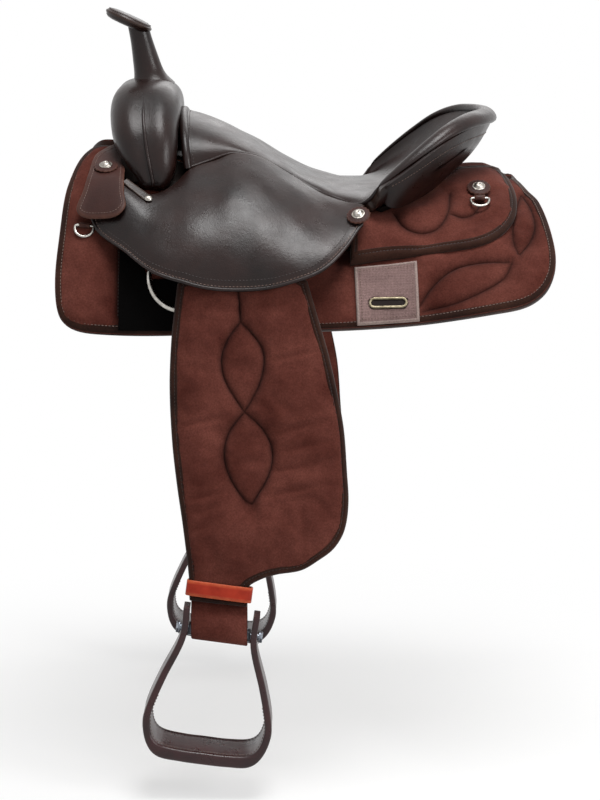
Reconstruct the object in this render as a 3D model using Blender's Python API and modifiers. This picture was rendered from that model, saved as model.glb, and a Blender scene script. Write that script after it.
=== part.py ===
"""Western trail saddle: a covered tree with quilted skirts, jockeys, fenders and stirrups.

Units are metres. The horn points to -X, the cantle to +X, +Z is up and the horse's left is -Y.
The origin is on the ridge of the underside, half way along the skirts. Every paired piece is
modelled on the +Y side and mirrored to the other. The panels of cloth and leather are cut flat,
from an outline, and then formed over the shape that carries them.
"""

import math

import bmesh
import bpy
from mathutils import Matrix, Vector

# The back that the saddle is shaped for: (station along X, value there).
RIDGE_HEIGHT = ((-0.34, 0.104), (-0.25, 0.090), (-0.17, 0.060), (-0.08, 0.018),
                (0.0, 0.0), (0.10, 0.010), (0.20, 0.033), (0.34, 0.045))
HALF_WIDTH = ((-0.34, 0.213), (0.0, 0.225), (0.34, 0.252))
CELL_LENGTH = 0.048
CELL_DROP = 0.034
HEM_LEVEL = -0.127
HEM_ANGLE = math.radians(75)
GIRTH_RADIUS = 0.206

# Clearances.
GAP = 0.0003
SEW_GAP = 0.0005
LAYER_GAP = 0.0006
RUNNING_GAP = 0.0006

# Layers over the back.
FLEECE_THICKNESS = 0.012
SKIRT_THICKNESS = 0.0075
LEATHER = 0.004
NEOPRENE = 0.002
REAR_JOCKEY_THICKNESS = 0.009
JOCKEY_LEATHER = 0.005
SEAT_PADDING = 0.016
GROUND_LEATHER = 0.006
CHANNEL_RADIUS = 0.0016

# Tree.
BAR_FRONT = -0.228
BAR_REAR = 0.235
BAR_INNER = 0.034
BAR_WAIST = 0.148
BAR_TIP_WIDTH = 0.105
BAR_CLEARANCE = 0.0012
BAR_THICKNESS = ((-0.26, 0.010), (-0.19, 0.019), (-0.05, 0.024), (0.06, 0.022),
                 (0.15, 0.013), (0.24, 0.006))
FORK_MIDDLE = -0.218
FORK_HALF_LENGTH = 0.046
REST_FRONT = -0.300
REST_REAR = -0.140
REST_INNER = 0.020
REST_OUTER = 0.190

# Horn.
HORN_BASE = Vector((-0.211, 0.0, 0.188))
HORN_TOP = Vector((-0.231, 0.0, 0.256))
HORN_NECK_RADIUS = 0.0155
HORN_CAP_LENGTH = 0.067
HORN_CAP_WIDTH = 0.058
HORN_CAP_THICKNESS = 0.015
HORN_CAP_TILT = math.radians(-24)
HORN_POST_RADIUS = 0.008

# Fender plane: it leans outward and hangs from the stirrup leather.
FENDER_LEAN = math.radians(8)
FENDER_TOP = Vector((-0.085, 0.2475, -0.090))
FENDER_THICKNESS = 0.010
SWING_DROP = -0.030
SWING_SHIFT = -0.006
LIFT_GAP = 0.0005
LEATHER_WIDTH = 0.073
PLY = 0.0035
BIGHT_HALF_WIDTH = 0.030

# Stirrup, in its own plane, measured from its bolt.
STIRRUP_TILT = math.radians(7.5)
BOLT_DROP = 0.418
BOLT_RADIUS = 0.0045
ROLLER_RADIUS = 0.009
STIRRUP_NECK = 0.0504
STIRRUP_LEG = 0.008
STIRRUP_HALF_WIDTH = 0.083
STIRRUP_HEIGHT = 0.168
STIRRUP_EAR = 0.030
STIRRUP_TREAD = 0.016
TREAD_DEPTH = 0.078
STIRRUP_TOP_DEPTH = 0.034

# Metal fittings.
DEE_RADIUS = 0.048
DEE_BAND = 0.008
DEE_PLATE = 0.005
RIGGING_LEATHER = 0.003
TAB_LEATHER = 0.002
COLLAR_TAB_TAIL = 0.026
REAR_TAB_TAIL = 0.030
REAR_CONCHO_UP = 0.025
CONCHO_RADIUS = 0.0115
ROSETTE_RADIUS = 0.0155
ROSETTE_THICKNESS = 0.003
CONCHO_RISE = 0.005
SMALL_DEE_RADIUS = 0.012
SMALL_DEE_WIRE = 0.0018
SLOT_LENGTH = 0.050
SLOT_WIDTH = 0.015
SLOT_BAND = 0.005
SLOT_PLATE = 0.002

PARTS = "trail_saddle"
CUTTERS = "trail_saddle_cutters"
STEP = 0.0005
PIVOTS = {}


def clear_scene():
    for thing in list(bpy.data.objects):
        bpy.data.objects.remove(thing, do_unlink=True)


def collection(name):
    found = bpy.data.collections.get(name)
    if found is None:
        found = bpy.data.collections.new(name)
        bpy.context.scene.collection.children.link(found)
    return found


def material(name, colour, roughness, metallic=0.0):
    found = bpy.data.materials.get(name)
    if found is None:
        found = bpy.data.materials.new(name)
        found.use_nodes = True
        shader = found.node_tree.nodes["Principled BSDF"]
        shader.inputs["Base Color"].default_value = (*colour, 1.0)
        shader.inputs["Roughness"].default_value = roughness
        shader.inputs["Metallic"].default_value = metallic
    return found


FINISHES = {
    "cordura": ((0.135, 0.050, 0.042), 0.9, 0.0),
    "seat_leather": ((0.042, 0.027, 0.023), 0.42, 0.0),
    "dark_leather": ((0.050, 0.020, 0.018), 0.5, 0.0),
    "rigging_leather": ((0.24, 0.14, 0.14), 0.6, 0.0),
    "red_leather": ((0.36, 0.06, 0.03), 0.5, 0.0),
    "neoprene": ((0.004, 0.003, 0.003), 0.8, 0.0),
    "fleece": ((0.62, 0.54, 0.42), 1.0, 0.0),
    "wood": ((0.42, 0.27, 0.14), 0.7, 0.0),
    "steel": ((0.60, 0.60, 0.60), 0.3, 1.0),
    "brass": ((0.60, 0.50, 0.30), 0.35, 1.0),
}


def finish(thing, finish_name):
    colour, roughness, metallic = FINISHES[finish_name]
    thing.data.materials.clear()
    thing.data.materials.append(material(finish_name, colour, roughness, metallic))
    return thing


def smooth(table, x):
    """Read a table of (station, value) along a smooth curve; its ends hold their value."""
    if x <= table[0][0]:
        return table[0][1]
    if x >= table[-1][0]:
        return table[-1][1]
    last = len(table) - 1
    i = next(k for k in range(last) if table[k + 1][0] >= x)

    def slope(k):
        before = table[max(k - 1, 0)]
        after = table[min(k + 1, last)]
        return (after[1] - before[1]) / (after[0] - before[0])

    width = table[i + 1][0] - table[i][0]
    t = (x - table[i][0]) / width
    start, end = table[i][1], table[i + 1][1]
    return (
        start * (1 + 2 * t) * (1 - t) ** 2
        + end * t * t * (3 - 2 * t)
        + width * slope(i) * t * (1 - t) ** 2
        - width * slope(i + 1) * t * t * (1 - t)
    )


# The surfaces that the panels are formed over. Each takes a station x, a distance s down
# from the middle, and a height d off the surface.


def back_section(x, s):
    ridge = smooth(RIDGE_HEIGHT, x)
    drop = (ridge - HEM_LEVEL) / (1 - math.cos(HEM_ANGLE))
    angle = s / GIRTH_RADIUS
    return smooth(HALF_WIDTH, x) * math.sin(angle), ridge - drop * (1 - math.cos(angle))


def raised(section, x, s, d):
    y, z = section(x, s)
    y_next, z_next = section(x, s + STEP)
    run = math.hypot(y_next - y, z_next - z)
    return Vector((x, y - (z_next - z) / run * d, z + (y_next - y) / run * d))


def back(x, s, d):
    """The back as flat three-sided cells, so that stacked panels share their facets."""
    i, j = math.floor(x / CELL_LENGTH), math.floor(s / CELL_DROP)
    a, b = x / CELL_LENGTH - i, s / CELL_DROP - j

    def corner(k, m):
        return raised(back_section, (i + k) * CELL_LENGTH, (j + m) * CELL_DROP, d)
    upper, lower = corner(0, 1), corner(1, 0)
    if a + b <= 1:
        apex = corner(0, 0)
        return apex + (lower - apex) * a + (upper - apex) * b
    apex = corner(1, 1)
    return apex + (upper - apex) * (1 - a) + (lower - apex) * (1 - b)


SKIRT_FACE = FLEECE_THICKNESS + LAYER_GAP + SKIRT_THICKNESS
ON_SKIRT = SKIRT_FACE + LAYER_GAP


def bar_width(x):
    """How far down from the ridge the bar reaches at a station."""
    return smooth(((BAR_FRONT, BAR_TIP_WIDTH * 0.8), (-0.20, BAR_TIP_WIDTH), (-0.12, BAR_WAIST),
                   (0.10, BAR_WAIST), (BAR_REAR, BAR_TIP_WIDTH)), x)


def bar_height(x, s, spread=0.0):
    """Thickness of the bar at a point: full in the middle, rounded off to both edges."""
    inner = BAR_INNER - spread
    outer = bar_width(x) + spread
    across = (s - 0.5 * (inner + outer)) / (0.5 * (outer - inner))
    lengthwise = min(x - BAR_FRONT + spread, BAR_REAR + spread - x) / 0.02
    if abs(across) >= 1 or lengthwise <= 0:
        return 0.0
    return smooth(BAR_THICKNESS, x) * (1 - across ** 4) * min(1.0, lengthwise)


def over_bars(x, s, d):
    """The skirt's face with the bar's bulge under the covering panel."""
    return back(x, s, d + 1.05 * bar_height(x, s, spread=0.030))


SEAM = ((-0.285, 0.140, 0.072), (-0.240, 0.158, 0.064), (-0.205, 0.165, 0.046),
        (-0.175, 0.150, 0.056), (-0.153, 0.124, 0.076), (-0.120, 0.1125, 0.087),
        (-0.0935, 0.1075, 0.096), (-0.061, 0.1045, 0.091), (-0.021, 0.1095, 0.0685),
        (0.018, 0.1275, 0.046), (0.051, 0.1495, 0.0355), (0.080, 0.1690, 0.033))
FLANK_HEM = ((-0.285, 0.214), (-0.235, 0.236), (-0.19, 0.258), (-0.08, 0.2595),
             (0.03, 0.259), (0.08, 0.243))
FLANK_FULLNESS = ((-0.285, 0.0), (-0.19, 0.9), (-0.08, 1.0), (0.03, 0.9), (0.08, 0.5))
FLANK_LEVEL = -0.075
FLANK_GIRTH = 0.24


def seam_at(x):
    """Height and half-width of the line where the jockey is sewn to the seat."""
    y = smooth(tuple((station, out) for station, out, _ in SEAM), x)
    z = smooth(tuple((station, up) for station, _, up in SEAM), x)
    return y, z


def flank_section(x, s):
    t = s / FLANK_GIRTH
    y0, z0 = seam_at(x)
    y3, z3 = smooth(FLANK_HEM, x), FLANK_LEVEL
    full = smooth(FLANK_FULLNESS, x)
    y1, z1 = y0 + 0.30 * (y3 - y0), z0 - 0.10 * (z0 - z3)
    y2, z2 = y3 - 0.004 * full - 0.3 * (1 - full) * (y3 - y0), z3 + 0.55 * (z0 - z3)
    weights = ((1 - t) ** 3, 3 * t * (1 - t) ** 2, 3 * t * t * (1 - t), t ** 3)
    y = sum(w * p for w, p in zip(weights, (y0, y1, y2, y3)))
    z = sum(w * p for w, p in zip(weights, (z0, z1, z2, z3)))
    return y, z


def flank(x, s, d):
    return raised(flank_section, x, s, d)


def side(surface, d, *points):
    """Flat-pattern points whose places in the side view are the given (x, z[, kind])."""
    flat = []
    for x, z, *kind in points:
        low, high = 0.0, 0.34
        for _ in range(30):
            middle = 0.5 * (low + high)
            if surface(x, middle, d).z > z:
                low = middle
            else:
                high = middle
        flat.append((x, 0.5 * (low + high), *kind))
    return flat


def on_surface(surface, x, s, d):
    """A frame on a surface: X along the saddle, Y down the surface, Z off it."""
    here = surface(x, s, d)
    along = (surface(x + STEP, s, d) - here).normalized()
    down = surface(x, s + STEP, d) - here
    off = along.cross(down).normalized()
    down = off.cross(along)
    frame = Matrix((along, down, off)).transposed().to_4x4()
    frame.translation = here
    return frame


# Makers. Each returns an object in the collection of parts, or of cutters.


def place(name, mesh, where=PARTS):
    thing = bpy.data.objects.new(name, mesh)
    collection(where).objects.link(thing)
    if where == CUTTERS:
        thing.hide_render = True
        thing.display_type = "WIRE"
    return thing


def evaluated_mesh(thing):
    bpy.context.view_layer.update()
    graph = bpy.context.evaluated_depsgraph_get()
    return bpy.data.meshes.new_from_object(thing.evaluated_get(graph))


def outline_mesh(loops, thickness, detail):
    """A flat slab, its middle at z = 0: a point marked "corner" is sharp, the rest are smooth."""
    curve = bpy.data.curves.new("outline", "CURVE")
    curve.dimensions = "2D"
    curve.fill_mode = "BOTH"
    curve.extrude = 0.5 * thickness
    curve.resolution_u = detail
    curve.render_resolution_u = 0
    for points in loops:
        spline = curve.splines.new("BEZIER")
        spline.bezier_points.add(len(points) - 1)
        spline.use_cyclic_u = True
        for knot, point in zip(spline.bezier_points, points):
            knot.co = (point[0], point[1], 0.0)
            kind = "VECTOR" if len(point) > 2 else "AUTO"
            knot.handle_left_type = kind
            knot.handle_right_type = kind
    holder = place("outline", curve, CUTTERS)
    mesh = evaluated_mesh(holder)
    bpy.data.objects.remove(holder)
    return mesh


def slab(loops, thickness, detail=4, rim=0.0):
    """A bmesh of a flat slab whose two faces are single polygons, its rims bevelled."""
    mesh = outline_mesh(loops, thickness, detail)
    form = bmesh.new()
    form.from_mesh(mesh)
    bpy.data.meshes.remove(mesh)
    bmesh.ops.remove_doubles(form, verts=form.verts, dist=1e-6)
    form.normal_update()
    if len(loops) == 1:
        inside = [e for e in form.edges if all(abs(f.normal.z) > 0.9 for f in e.link_faces)]
        bmesh.ops.dissolve_edges(form, edges=inside, use_verts=False)
    if rim:
        rims = [
            e for e in form.edges
            if sorted(abs(f.normal.z) > 0.9 for f in e.link_faces) == [False, True]
        ]
        bmesh.ops.bevel(form, geom=rims, offset=rim, segments=1, affect="EDGES", profile=0.5)
    return form


def sliced(form, along, down):
    """Cut the form wherever along * x + down * y is whole, so that it can bend there."""
    normal = Vector((along, down, 0.0))
    values = [normal.dot(v.co) for v in form.verts]
    for k in range(math.ceil(min(values)), math.floor(max(values)) + 1):
        on_plane = normal * (k / normal.length_squared)
        parts = form.verts[:] + form.edges[:] + form.faces[:]
        bmesh.ops.bisect_plane(form, geom=parts, dist=1e-6, plane_co=on_plane, plane_no=normal)


def finished(form, name, where=PARTS, flat=False):
    bmesh.ops.recalc_face_normals(form, faces=form.faces)
    mesh = bpy.data.meshes.new(name)
    form.to_mesh(mesh)
    form.free()
    if not flat:
        mesh.shade_smooth()
        mesh.set_sharp_from_angle(angle=math.radians(40))
    return place(name, mesh, where)


def panel(name, surface, points, inner, outer, pitch=(CELL_LENGTH, CELL_DROP), rim=0.0,
          where=PARTS, detail=2):
    """A panel cut flat from its outline and formed over a surface, between two heights.

    Each height is a number, or a function of the place on the pattern.
    """
    def height(value, x, s):
        return value(x, s) if callable(value) else value

    middle = points[len(points) // 2]
    nominal = height(outer, middle[0], middle[1]) - height(inner, middle[0], middle[1])
    form = slab([points], nominal, detail, rim)
    sliced(form, 1 / pitch[0], 0)
    sliced(form, 0, 1 / pitch[1])
    sliced(form, 1 / pitch[0], 1 / pitch[1])
    faces = [f for f in form.faces if len(f.verts) > 4]
    bmesh.ops.triangulate(form, faces=faces)
    for v in form.verts:
        x, s, t = v.co.x, v.co.y, v.co.z / nominal + 0.5
        low, high = height(inner, x, s), height(outer, x, s)
        v.co = surface(x, s, low + (high - low) * t)
    return finished(form, name, where)


def plate(name, loops, thickness, frame, detail=4, rim=0.0, where=PARTS):
    """A flat plate with its back face on the frame's plane."""
    form = slab(loops, thickness, detail, rim)
    shift = Matrix.Translation((0, 0, 0.5 * thickness))
    bmesh.ops.transform(form, matrix=frame @ shift, verts=form.verts)
    return finished(form, name, where)


def loft(name, rings, where=PARTS, looped=False):
    """A closed skin through rings of equal count, with flat ends unless it is looped."""
    form = bmesh.new()
    rows = [[form.verts.new(point) for point in ring] for ring in rings]
    count = len(rings[0])
    pairs = list(zip(rows, rows[1:]))
    if looped:
        pairs.append((rows[-1], rows[0]))
    for here, there in pairs:
        for k in range(count):
            after = (k + 1) % count
            form.faces.new((here[k], here[after], there[after], there[k]))
    if not looped:
        form.faces.new(list(reversed(rows[0])))
        form.faces.new(rows[-1])
    return finished(form, name, where)


def sheet(name, point, columns, rows, thickness, where=PARTS):
    """An open surface point(a, b), with a and b from 0 to 1, thickened to its back."""
    form = bmesh.new()
    bmesh.ops.create_grid(form, x_segments=columns, y_segments=rows, size=0.5)
    for v in form.verts:
        v.co = point(v.co.x + 0.5, v.co.y + 0.5)
    mesh = bpy.data.meshes.new(name)
    form.to_mesh(mesh)
    form.free()
    mesh.shade_smooth()
    mesh.set_sharp_from_angle(angle=math.radians(40))
    thing = place(name, mesh, where)
    shell = thing.modifiers.new("thickness", "SOLIDIFY")
    shell.thickness = thickness
    shell.offset = -1
    shell.use_even_offset = False
    return thing


def rod(name, points, radius, sides=8, closed=False, where=PARTS):
    """A round rod along a line of points, capped at its ends unless it is closed."""
    curve = bpy.data.curves.new(name, "CURVE")
    curve.dimensions = "3D"
    curve.bevel_depth = radius
    curve.bevel_resolution = sides // 2 - 2
    curve.use_fill_caps = not closed
    curve.render_resolution_u = 0
    spline = curve.splines.new("POLY")
    spline.points.add(len(points) - 1)
    spline.use_cyclic_u = closed
    for knot, point in zip(spline.points, points):
        knot.co = (*point, 1.0)
    holder = place(name + "_line", curve, CUTTERS)
    mesh = evaluated_mesh(holder)
    bpy.data.objects.remove(holder)
    form = bmesh.new()
    form.from_mesh(mesh)
    bpy.data.meshes.remove(mesh)
    bmesh.ops.remove_doubles(form, verts=form.verts, dist=1e-6)
    return finished(form, name, where)


def turned(name, profile, frame, steps=12, where=PARTS):
    """A turned piece: a profile of (radius, height), from its top down its outer side."""
    mesh = bpy.data.meshes.new(name)
    edges = [(k, k + 1) for k in range(len(profile) - 1)]
    mesh.from_pydata([(r, 0.0, h) for r, h in profile], edges, [])
    thing = place(name + "_profile", mesh, CUTTERS)
    spin = thing.modifiers.new("turn", "SCREW")
    spin.axis = "Z"
    spin.steps = steps
    spin.render_steps = steps
    spin.use_merge_vertices = True
    spin.merge_threshold = 1e-5
    solid = evaluated_mesh(thing)
    bpy.data.objects.remove(thing)
    form = bmesh.new()
    form.from_mesh(solid)
    bpy.data.meshes.remove(solid)
    bmesh.ops.remove_doubles(form, verts=form.verts, dist=1e-6)
    bmesh.ops.transform(form, matrix=frame, verts=form.verts)
    return finished(form, name, where)


def combine(thing, others, operation, solver="EXACT"):
    for other in others:
        step = thing.modifiers.new("combine", "BOOLEAN")
        step.operation = operation
        step.solver = solver
        step.object = other
    return thing


def cut(thing, *cutters, solver="EXACT"):
    return combine(thing, cutters, "DIFFERENCE", solver)


def fused(thing, *others):
    """The piece with others, made in the collection of cutters, grown into it."""
    return applied(combine(thing, others, "UNION"))


def mirrored(thing, name):
    """The same piece on the horse's left side."""
    mesh = evaluated_mesh(thing)
    mesh.transform(Matrix.Scale(-1, 4, (0, 1, 0)))
    mesh.flip_normals()
    return place(name, mesh)


def hang_pair(name, frame, parent_name, things):
    """Hang pieces, and their mates, on empties that stand on the joint's axis."""
    flip = Matrix.Scale(-1, 4, (0, 1, 0))
    for side_name, place_at in (("right", frame), ("left", flip @ frame @ flip)):
        pivot = bpy.data.objects.new(f"{name}_{side_name}", None)
        collection(PARTS).objects.link(pivot)
        pivot.empty_display_size = 0.02
        pivot.matrix_world = place_at
        if parent_name:
            carrier = bpy.data.objects[f"{parent_name}_{side_name}"]
            pivot.parent = carrier
            pivot.matrix_parent_inverse = PIVOTS[carrier.name].inverted()
        PIVOTS[pivot.name] = place_at
    for thing in things:
        for piece, side_name in zip(pair(thing), ("right", "left")):
            pivot = bpy.data.objects[f"{name}_{side_name}"]
            piece.parent = pivot
            piece.matrix_parent_inverse = PIVOTS[pivot.name].inverted()


def pair(thing):
    """Give a right-hand piece its left-hand mate; both take the base name and their side."""
    base = thing.name
    left = mirrored(thing, base + "_left")
    thing.name = base + "_right"
    return thing, left


def applied(thing):
    """The piece with its modifiers made part of its mesh."""
    mesh = evaluated_mesh(thing)
    name, where = thing.name, thing.users_collection[0].name
    bpy.data.objects.remove(thing)
    return place(name, mesh, where)


# Skirts and what lies on them.

SKIRT_TOP = 0.028
SKIRT_SIDE = (
    (-0.312, 0.062), (-0.321, -0.005), (-0.325, -0.062), (-0.320, -0.102), (-0.304, -0.119),
    (-0.270, -0.126), (-0.171, -0.127), (0.017, -0.119), (0.143, -0.110), (0.244, -0.094),
    (0.285, -0.084), (0.309, -0.066), (0.321, -0.040), (0.321, -0.010), (0.308, 0.036),
)


def skirt_outline():
    """The skirt's flat pattern, which the fleece under it shares."""
    front = [(-0.245, SKIRT_TOP + 0.012), (-0.285, SKIRT_TOP + 0.030)]
    rear = [(0.296, SKIRT_TOP + 0.040), (0.284, SKIRT_TOP, "corner")]
    top = [(-0.10, SKIRT_TOP, "corner"), (-0.20, SKIRT_TOP, "corner")]
    return front + side(back, SKIRT_FACE, *SKIRT_SIDE) + rear + top


def quilt_cutter(name, surface, points, d, smoothness=2):
    """A round tool along a smooth line of pattern points, for a sewn channel."""
    line = []
    last = len(points) - 1
    table_x = tuple((float(k), p[0]) for k, p in enumerate(points))
    table_s = tuple((float(k), p[1]) for k, p in enumerate(points))
    for k in range(last * smoothness + 1):
        t = k / smoothness
        line.append(surface(smooth(table_x, t), smooth(table_s, t), d))
    return rod(name, line, CHANNEL_RADIUS, sides=4, where=CUTTERS)


CHANNEL_LIFT = 0.0004


def make_skirt():
    skirt = panel("skirt", back, skirt_outline(), FLEECE_THICKNESS + LAYER_GAP, SKIRT_FACE)
    channels = (
        ((0.285, 0.043), (0.272, 0.018), (0.270, -0.026)),
        ((0.295, 0.036), (0.297, 0.010), (0.280, -0.026)),
        ((0.147, -0.085), (0.190, -0.045), (0.262, -0.034)),
        ((0.153, -0.092), (0.205, -0.078), (0.256, -0.062), (0.268, -0.037)),
    )
    for k, line in enumerate(channels):
        points = side(back, SKIRT_FACE, *line)
        cut(skirt, quilt_cutter(f"skirt_channel_{k}", back, points, SKIRT_FACE + CHANNEL_LIFT))
    return finish(applied(skirt), "cordura")


def make_fleece():
    return finish(panel("fleece", back, skirt_outline(), 0.0, FLEECE_THICKNESS, detail=1), "fleece")


REAR_JOCKEY_SIDE = (
    (0.219, -0.013), (0.250, -0.001), (0.271, 0.019), (0.277, 0.040), (0.274, 0.056),
)


def make_rear_jockey():
    surface = over_bars
    lower = side(surface, ON_SKIRT + REAR_JOCKEY_THICKNESS,
                 (0.058, -0.036, "corner"), (0.114, -0.028), (0.167, -0.021), *REAR_JOCKEY_SIDE)
    points = lower + [(0.264, 0.022), (0.246, 0.010, "corner"), (0.204, 0.010, "corner"),
                      (0.194, 0.055), (0.168, 0.112), (0.128, 0.142), (0.070, 0.146, "corner")]
    outer = ON_SKIRT + REAR_JOCKEY_THICKNESS
    jockey = panel("rear_jockey", surface, points, ON_SKIRT, outer)
    lines = (
        ((0.120, 0.012), (0.150, 0.006), (0.178, 0.016), (0.192, 0.038)),
        ((0.186, 0.022), (0.215, 0.024), (0.238, 0.044)),
    )
    for k, line in enumerate(lines):
        path = side(surface, outer, *line)
        tool = quilt_cutter(f"rear_jockey_channel_{k}", surface, path, outer + CHANNEL_LIFT)
        cut(jockey, tool)
    return finish(applied(jockey), "cordura")


def make_front_jockey():
    """The little front jockey, with the loop of leather that holds the breast-collar dee."""
    points = side(back, ON_SKIRT + LEATHER, (-0.252, 0.100), (-0.238, 0.080), (-0.234, 0.045),
                  (-0.240, 0.028), (-0.262, 0.020), (-0.290, 0.022), (-0.300, 0.033),
                  (-0.292, 0.060), (-0.282, 0.090), (-0.268, 0.103))
    jockey = panel("front_jockey", back, points, ON_SKIRT, ON_SKIRT + LEATHER, rim=0.001)
    loop = dee_tab("collar_tab", small_ring_frames()[0], COLLAR_TAB_TAIL)
    return finish(fused(jockey, loop), "seat_leather")


def make_rigging_panel():
    points = side(back, ON_SKIRT + LEATHER, (-0.242, -0.020, "corner"), (-0.2425, -0.122, "corner"),
                  (-0.120, -0.122, "corner"), (-0.120, -0.058, "corner"), (-0.206, -0.058, "corner"),
                  (-0.216, -0.020, "corner"))
    inner = ON_SKIRT + LAYER_GAP
    return finish(panel("rigging_panel", back, points, inner, inner + NEOPRENE), "neoprene")


def make_rear_rigging_tab():
    """A leather tab with a metal-edged slot for the rear billet."""
    outer = ON_SKIRT + LEATHER
    points = side(back, outer, (0.063, -0.044, "corner"), (0.143, -0.035, "corner"),
                  (0.145, -0.107, "corner"), (0.066, -0.113, "corner"))
    tab = panel("rear_rigging_tab", back, points, ON_SKIRT, outer, rim=0.001)
    centre = side(back, outer, (0.1055, -0.086))[0]
    frame = on_surface(back, centre[0], centre[1], outer + GAP)
    slot = stadium(SLOT_LENGTH, SLOT_WIDTH)
    below = frame @ Matrix.Translation((0, 0, -2 * LEATHER))
    tool = plate("rear_slot_tool", [slot], 4 * LEATHER, below, detail=2, where=CUTTERS)
    tab = applied(cut(tab, tool))
    rim_loop = stadium(SLOT_LENGTH + 2 * SLOT_BAND, SLOT_WIDTH + 2 * SLOT_BAND)
    ring = plate("rear_slot_plate", [rim_loop, slot], SLOT_PLATE,
                 frame @ Matrix.Translation((0, 0, 0.0004)), detail=2)
    return finish(tab, "rigging_leather"), finish(ring, "brass")


def stadium(length, width):
    """A slot with round ends, as outline knots."""
    radius = 0.5 * width
    run = 0.5 * length - radius
    knots = []
    for sign in (1, -1):
        for step in range(5):
            angle = -math.pi / 2 + math.pi * step / 4
            kind = ("corner",) if step in (0, 4) else ()
            knots.append((sign * (run + radius * math.cos(angle)), sign * radius * math.sin(angle),
                          *kind))
    return knots


# Tree.


def bar_outline(spread=0.0):
    steps = 9
    stations = [BAR_FRONT - spread + (BAR_REAR - BAR_FRONT + 2 * spread) * k / steps
                for k in range(steps + 1)]
    lower = [(x, bar_width(x) + spread) for x in stations]
    ends = [(BAR_REAR + spread, BAR_INNER - spread, "corner"),
            (BAR_FRONT - spread, BAR_INNER - spread, "corner")]
    lower[0] = (*lower[0], "corner")
    lower[-1] = (*lower[-1], "corner")
    return lower + ends


def make_bar(name, spread=0.0, where=PARTS, inner=ON_SKIRT):
    """The bar, or with a spread the same shape grown all round and upward, as a tool."""
    def top(x, s):
        return ON_SKIRT + max(0.004, bar_height(x, s)) + (BAR_CLEARANCE if spread else 0.0)
    return panel(name, back, bar_outline(spread), inner, top, where=where, detail=2)


def fork_ring(a, grow, arc=None, points=12):
    """One section of the fork, a from 0 at the middle to 1 at the foot.

    The section is a rounded box, long fore and aft. An arc leaves its underside open.
    """
    y = smooth(((0.0, 0.0), (0.33, 0.055), (0.66, 0.101), (0.85, 0.118), (1.0, 0.123)), abs(a))
    z = smooth(((0.0, 0.158), (0.33, 0.149), (0.66, 0.117), (0.85, 0.086), (1.0, 0.062)), abs(a))
    lean = smooth(((0.0, 0.0), (0.33, 0.42), (0.66, 1.02), (0.85, 1.35), (1.0, 1.57)), abs(a))
    depth = smooth(((0.0, 0.034), (0.5, 0.036), (0.8, 0.032), (1.0, 0.025)), abs(a)) + grow
    length = FORK_HALF_LENGTH * smooth(((0.0, 0.94), (0.5, 1.0), (1.0, 0.78)), abs(a)) + grow
    out = Vector((0, math.sin(lean), math.cos(lean)))
    middle = Vector((FORK_MIDDLE + 0.010 * abs(a), y, z))
    start, end = arc if arc else (0.0, 2 * math.pi * (1 - 1 / points))
    ring = []
    for k in range(points):
        angle = start + (end - start) * k / (points - 1)
        c, s = math.cos(angle), math.sin(angle)
        fore = math.copysign(abs(c) ** 0.7, c) * length
        up = math.copysign(abs(s) ** 0.7, s) * depth
        place_at = middle + Vector((fore, 0, 0)) + out * up
        if a < 0:
            place_at.y = -place_at.y
        ring.append(place_at)
    return ring


FORK_ARC = (math.radians(-22), math.radians(202))
FORK_STATIONS = 12
FORK_AROUND = 9


def make_fork(name, grow, where=PARTS):
    """The fork's solid: the wood inside its cover, or with a growth the whole as a tool."""
    rings = [fork_ring(2 * k / FORK_STATIONS - 1, grow, arc=FORK_ARC, points=FORK_AROUND)
             for k in range(FORK_STATIONS + 1)]
    return loft(name, rings, where)


def make_fork_cover():
    """The leather drawn over the fork, open underneath."""
    def point(u, v):
        ring = fork_ring(2 * u - 1, 0.0, arc=FORK_ARC, points=FORK_AROUND)
        return ring[round(v * (FORK_AROUND - 1))]
    return sheet("fork_cover", point, FORK_STATIONS, FORK_AROUND - 1, LEATHER)


def make_rest_tool():
    """What lies on the skirt under the fork, as a tool that trims the fork's feet."""
    points = [(REST_FRONT, REST_INNER, "corner"), (REST_FRONT, REST_OUTER, "corner"),
              (REST_REAR, REST_OUTER, "corner"), (REST_REAR, REST_INNER, "corner")]
    return panel("rest_tool", back, points, -0.02, ON_SKIRT + LEATHER + LAYER_GAP, where=CUTTERS)


# Seat: a padded pan that climbs the fork in front and the cantle behind.

SEAT_MIDDLE = (  # v, x, z down the middle
    (0.0, -0.166, 0.149), (0.1, -0.140, 0.142), (0.2, -0.105, 0.128), (0.3, -0.070, 0.109),
    (0.4, -0.030, 0.083), (0.5, 0.015, 0.063), (0.6, 0.062, 0.054), (0.7, 0.115, 0.059),
    (0.8, 0.165, 0.080), (0.9, 0.207, 0.110), (1.0, 0.238, 0.143),
)
SEAT_EDGE = (  # v, x, y, z along the edge
    (0.0, -0.157, 0.120, 0.077), (0.1, -0.130, 0.1135, 0.086), (0.2, -0.100, 0.108, 0.096),
    (0.3, -0.070, 0.105, 0.094), (0.4, -0.030, 0.108, 0.0745), (0.5, 0.010, 0.1235, 0.051),
    (0.6, 0.045, 0.145, 0.0385), (0.7, 0.068, 0.161, 0.035), (0.8, 0.080, 0.168, 0.041),
    (0.9, 0.088, 0.171, 0.049), (1.0, 0.094, 0.172, 0.058),
)


def column(table, k, v):
    return smooth(tuple((row[0], row[k]) for row in table), v)


def seat_point(u, v):
    """The top of the seat: u from -1 to 1 across, v from 0 at the fork to 1 at the rim."""
    rise = math.cos(0.5 * math.pi * u)
    x_edge = column(SEAT_EDGE, 1, v)
    z_edge = column(SEAT_EDGE, 3, v)
    x = x_edge + (column(SEAT_MIDDLE, 1, v) - x_edge) * rise
    y = column(SEAT_EDGE, 2, v) * math.sin(0.5 * math.pi * u)
    z = z_edge + (column(SEAT_MIDDLE, 2, v) - z_edge) * rise
    return Vector((x, y, z))


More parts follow.
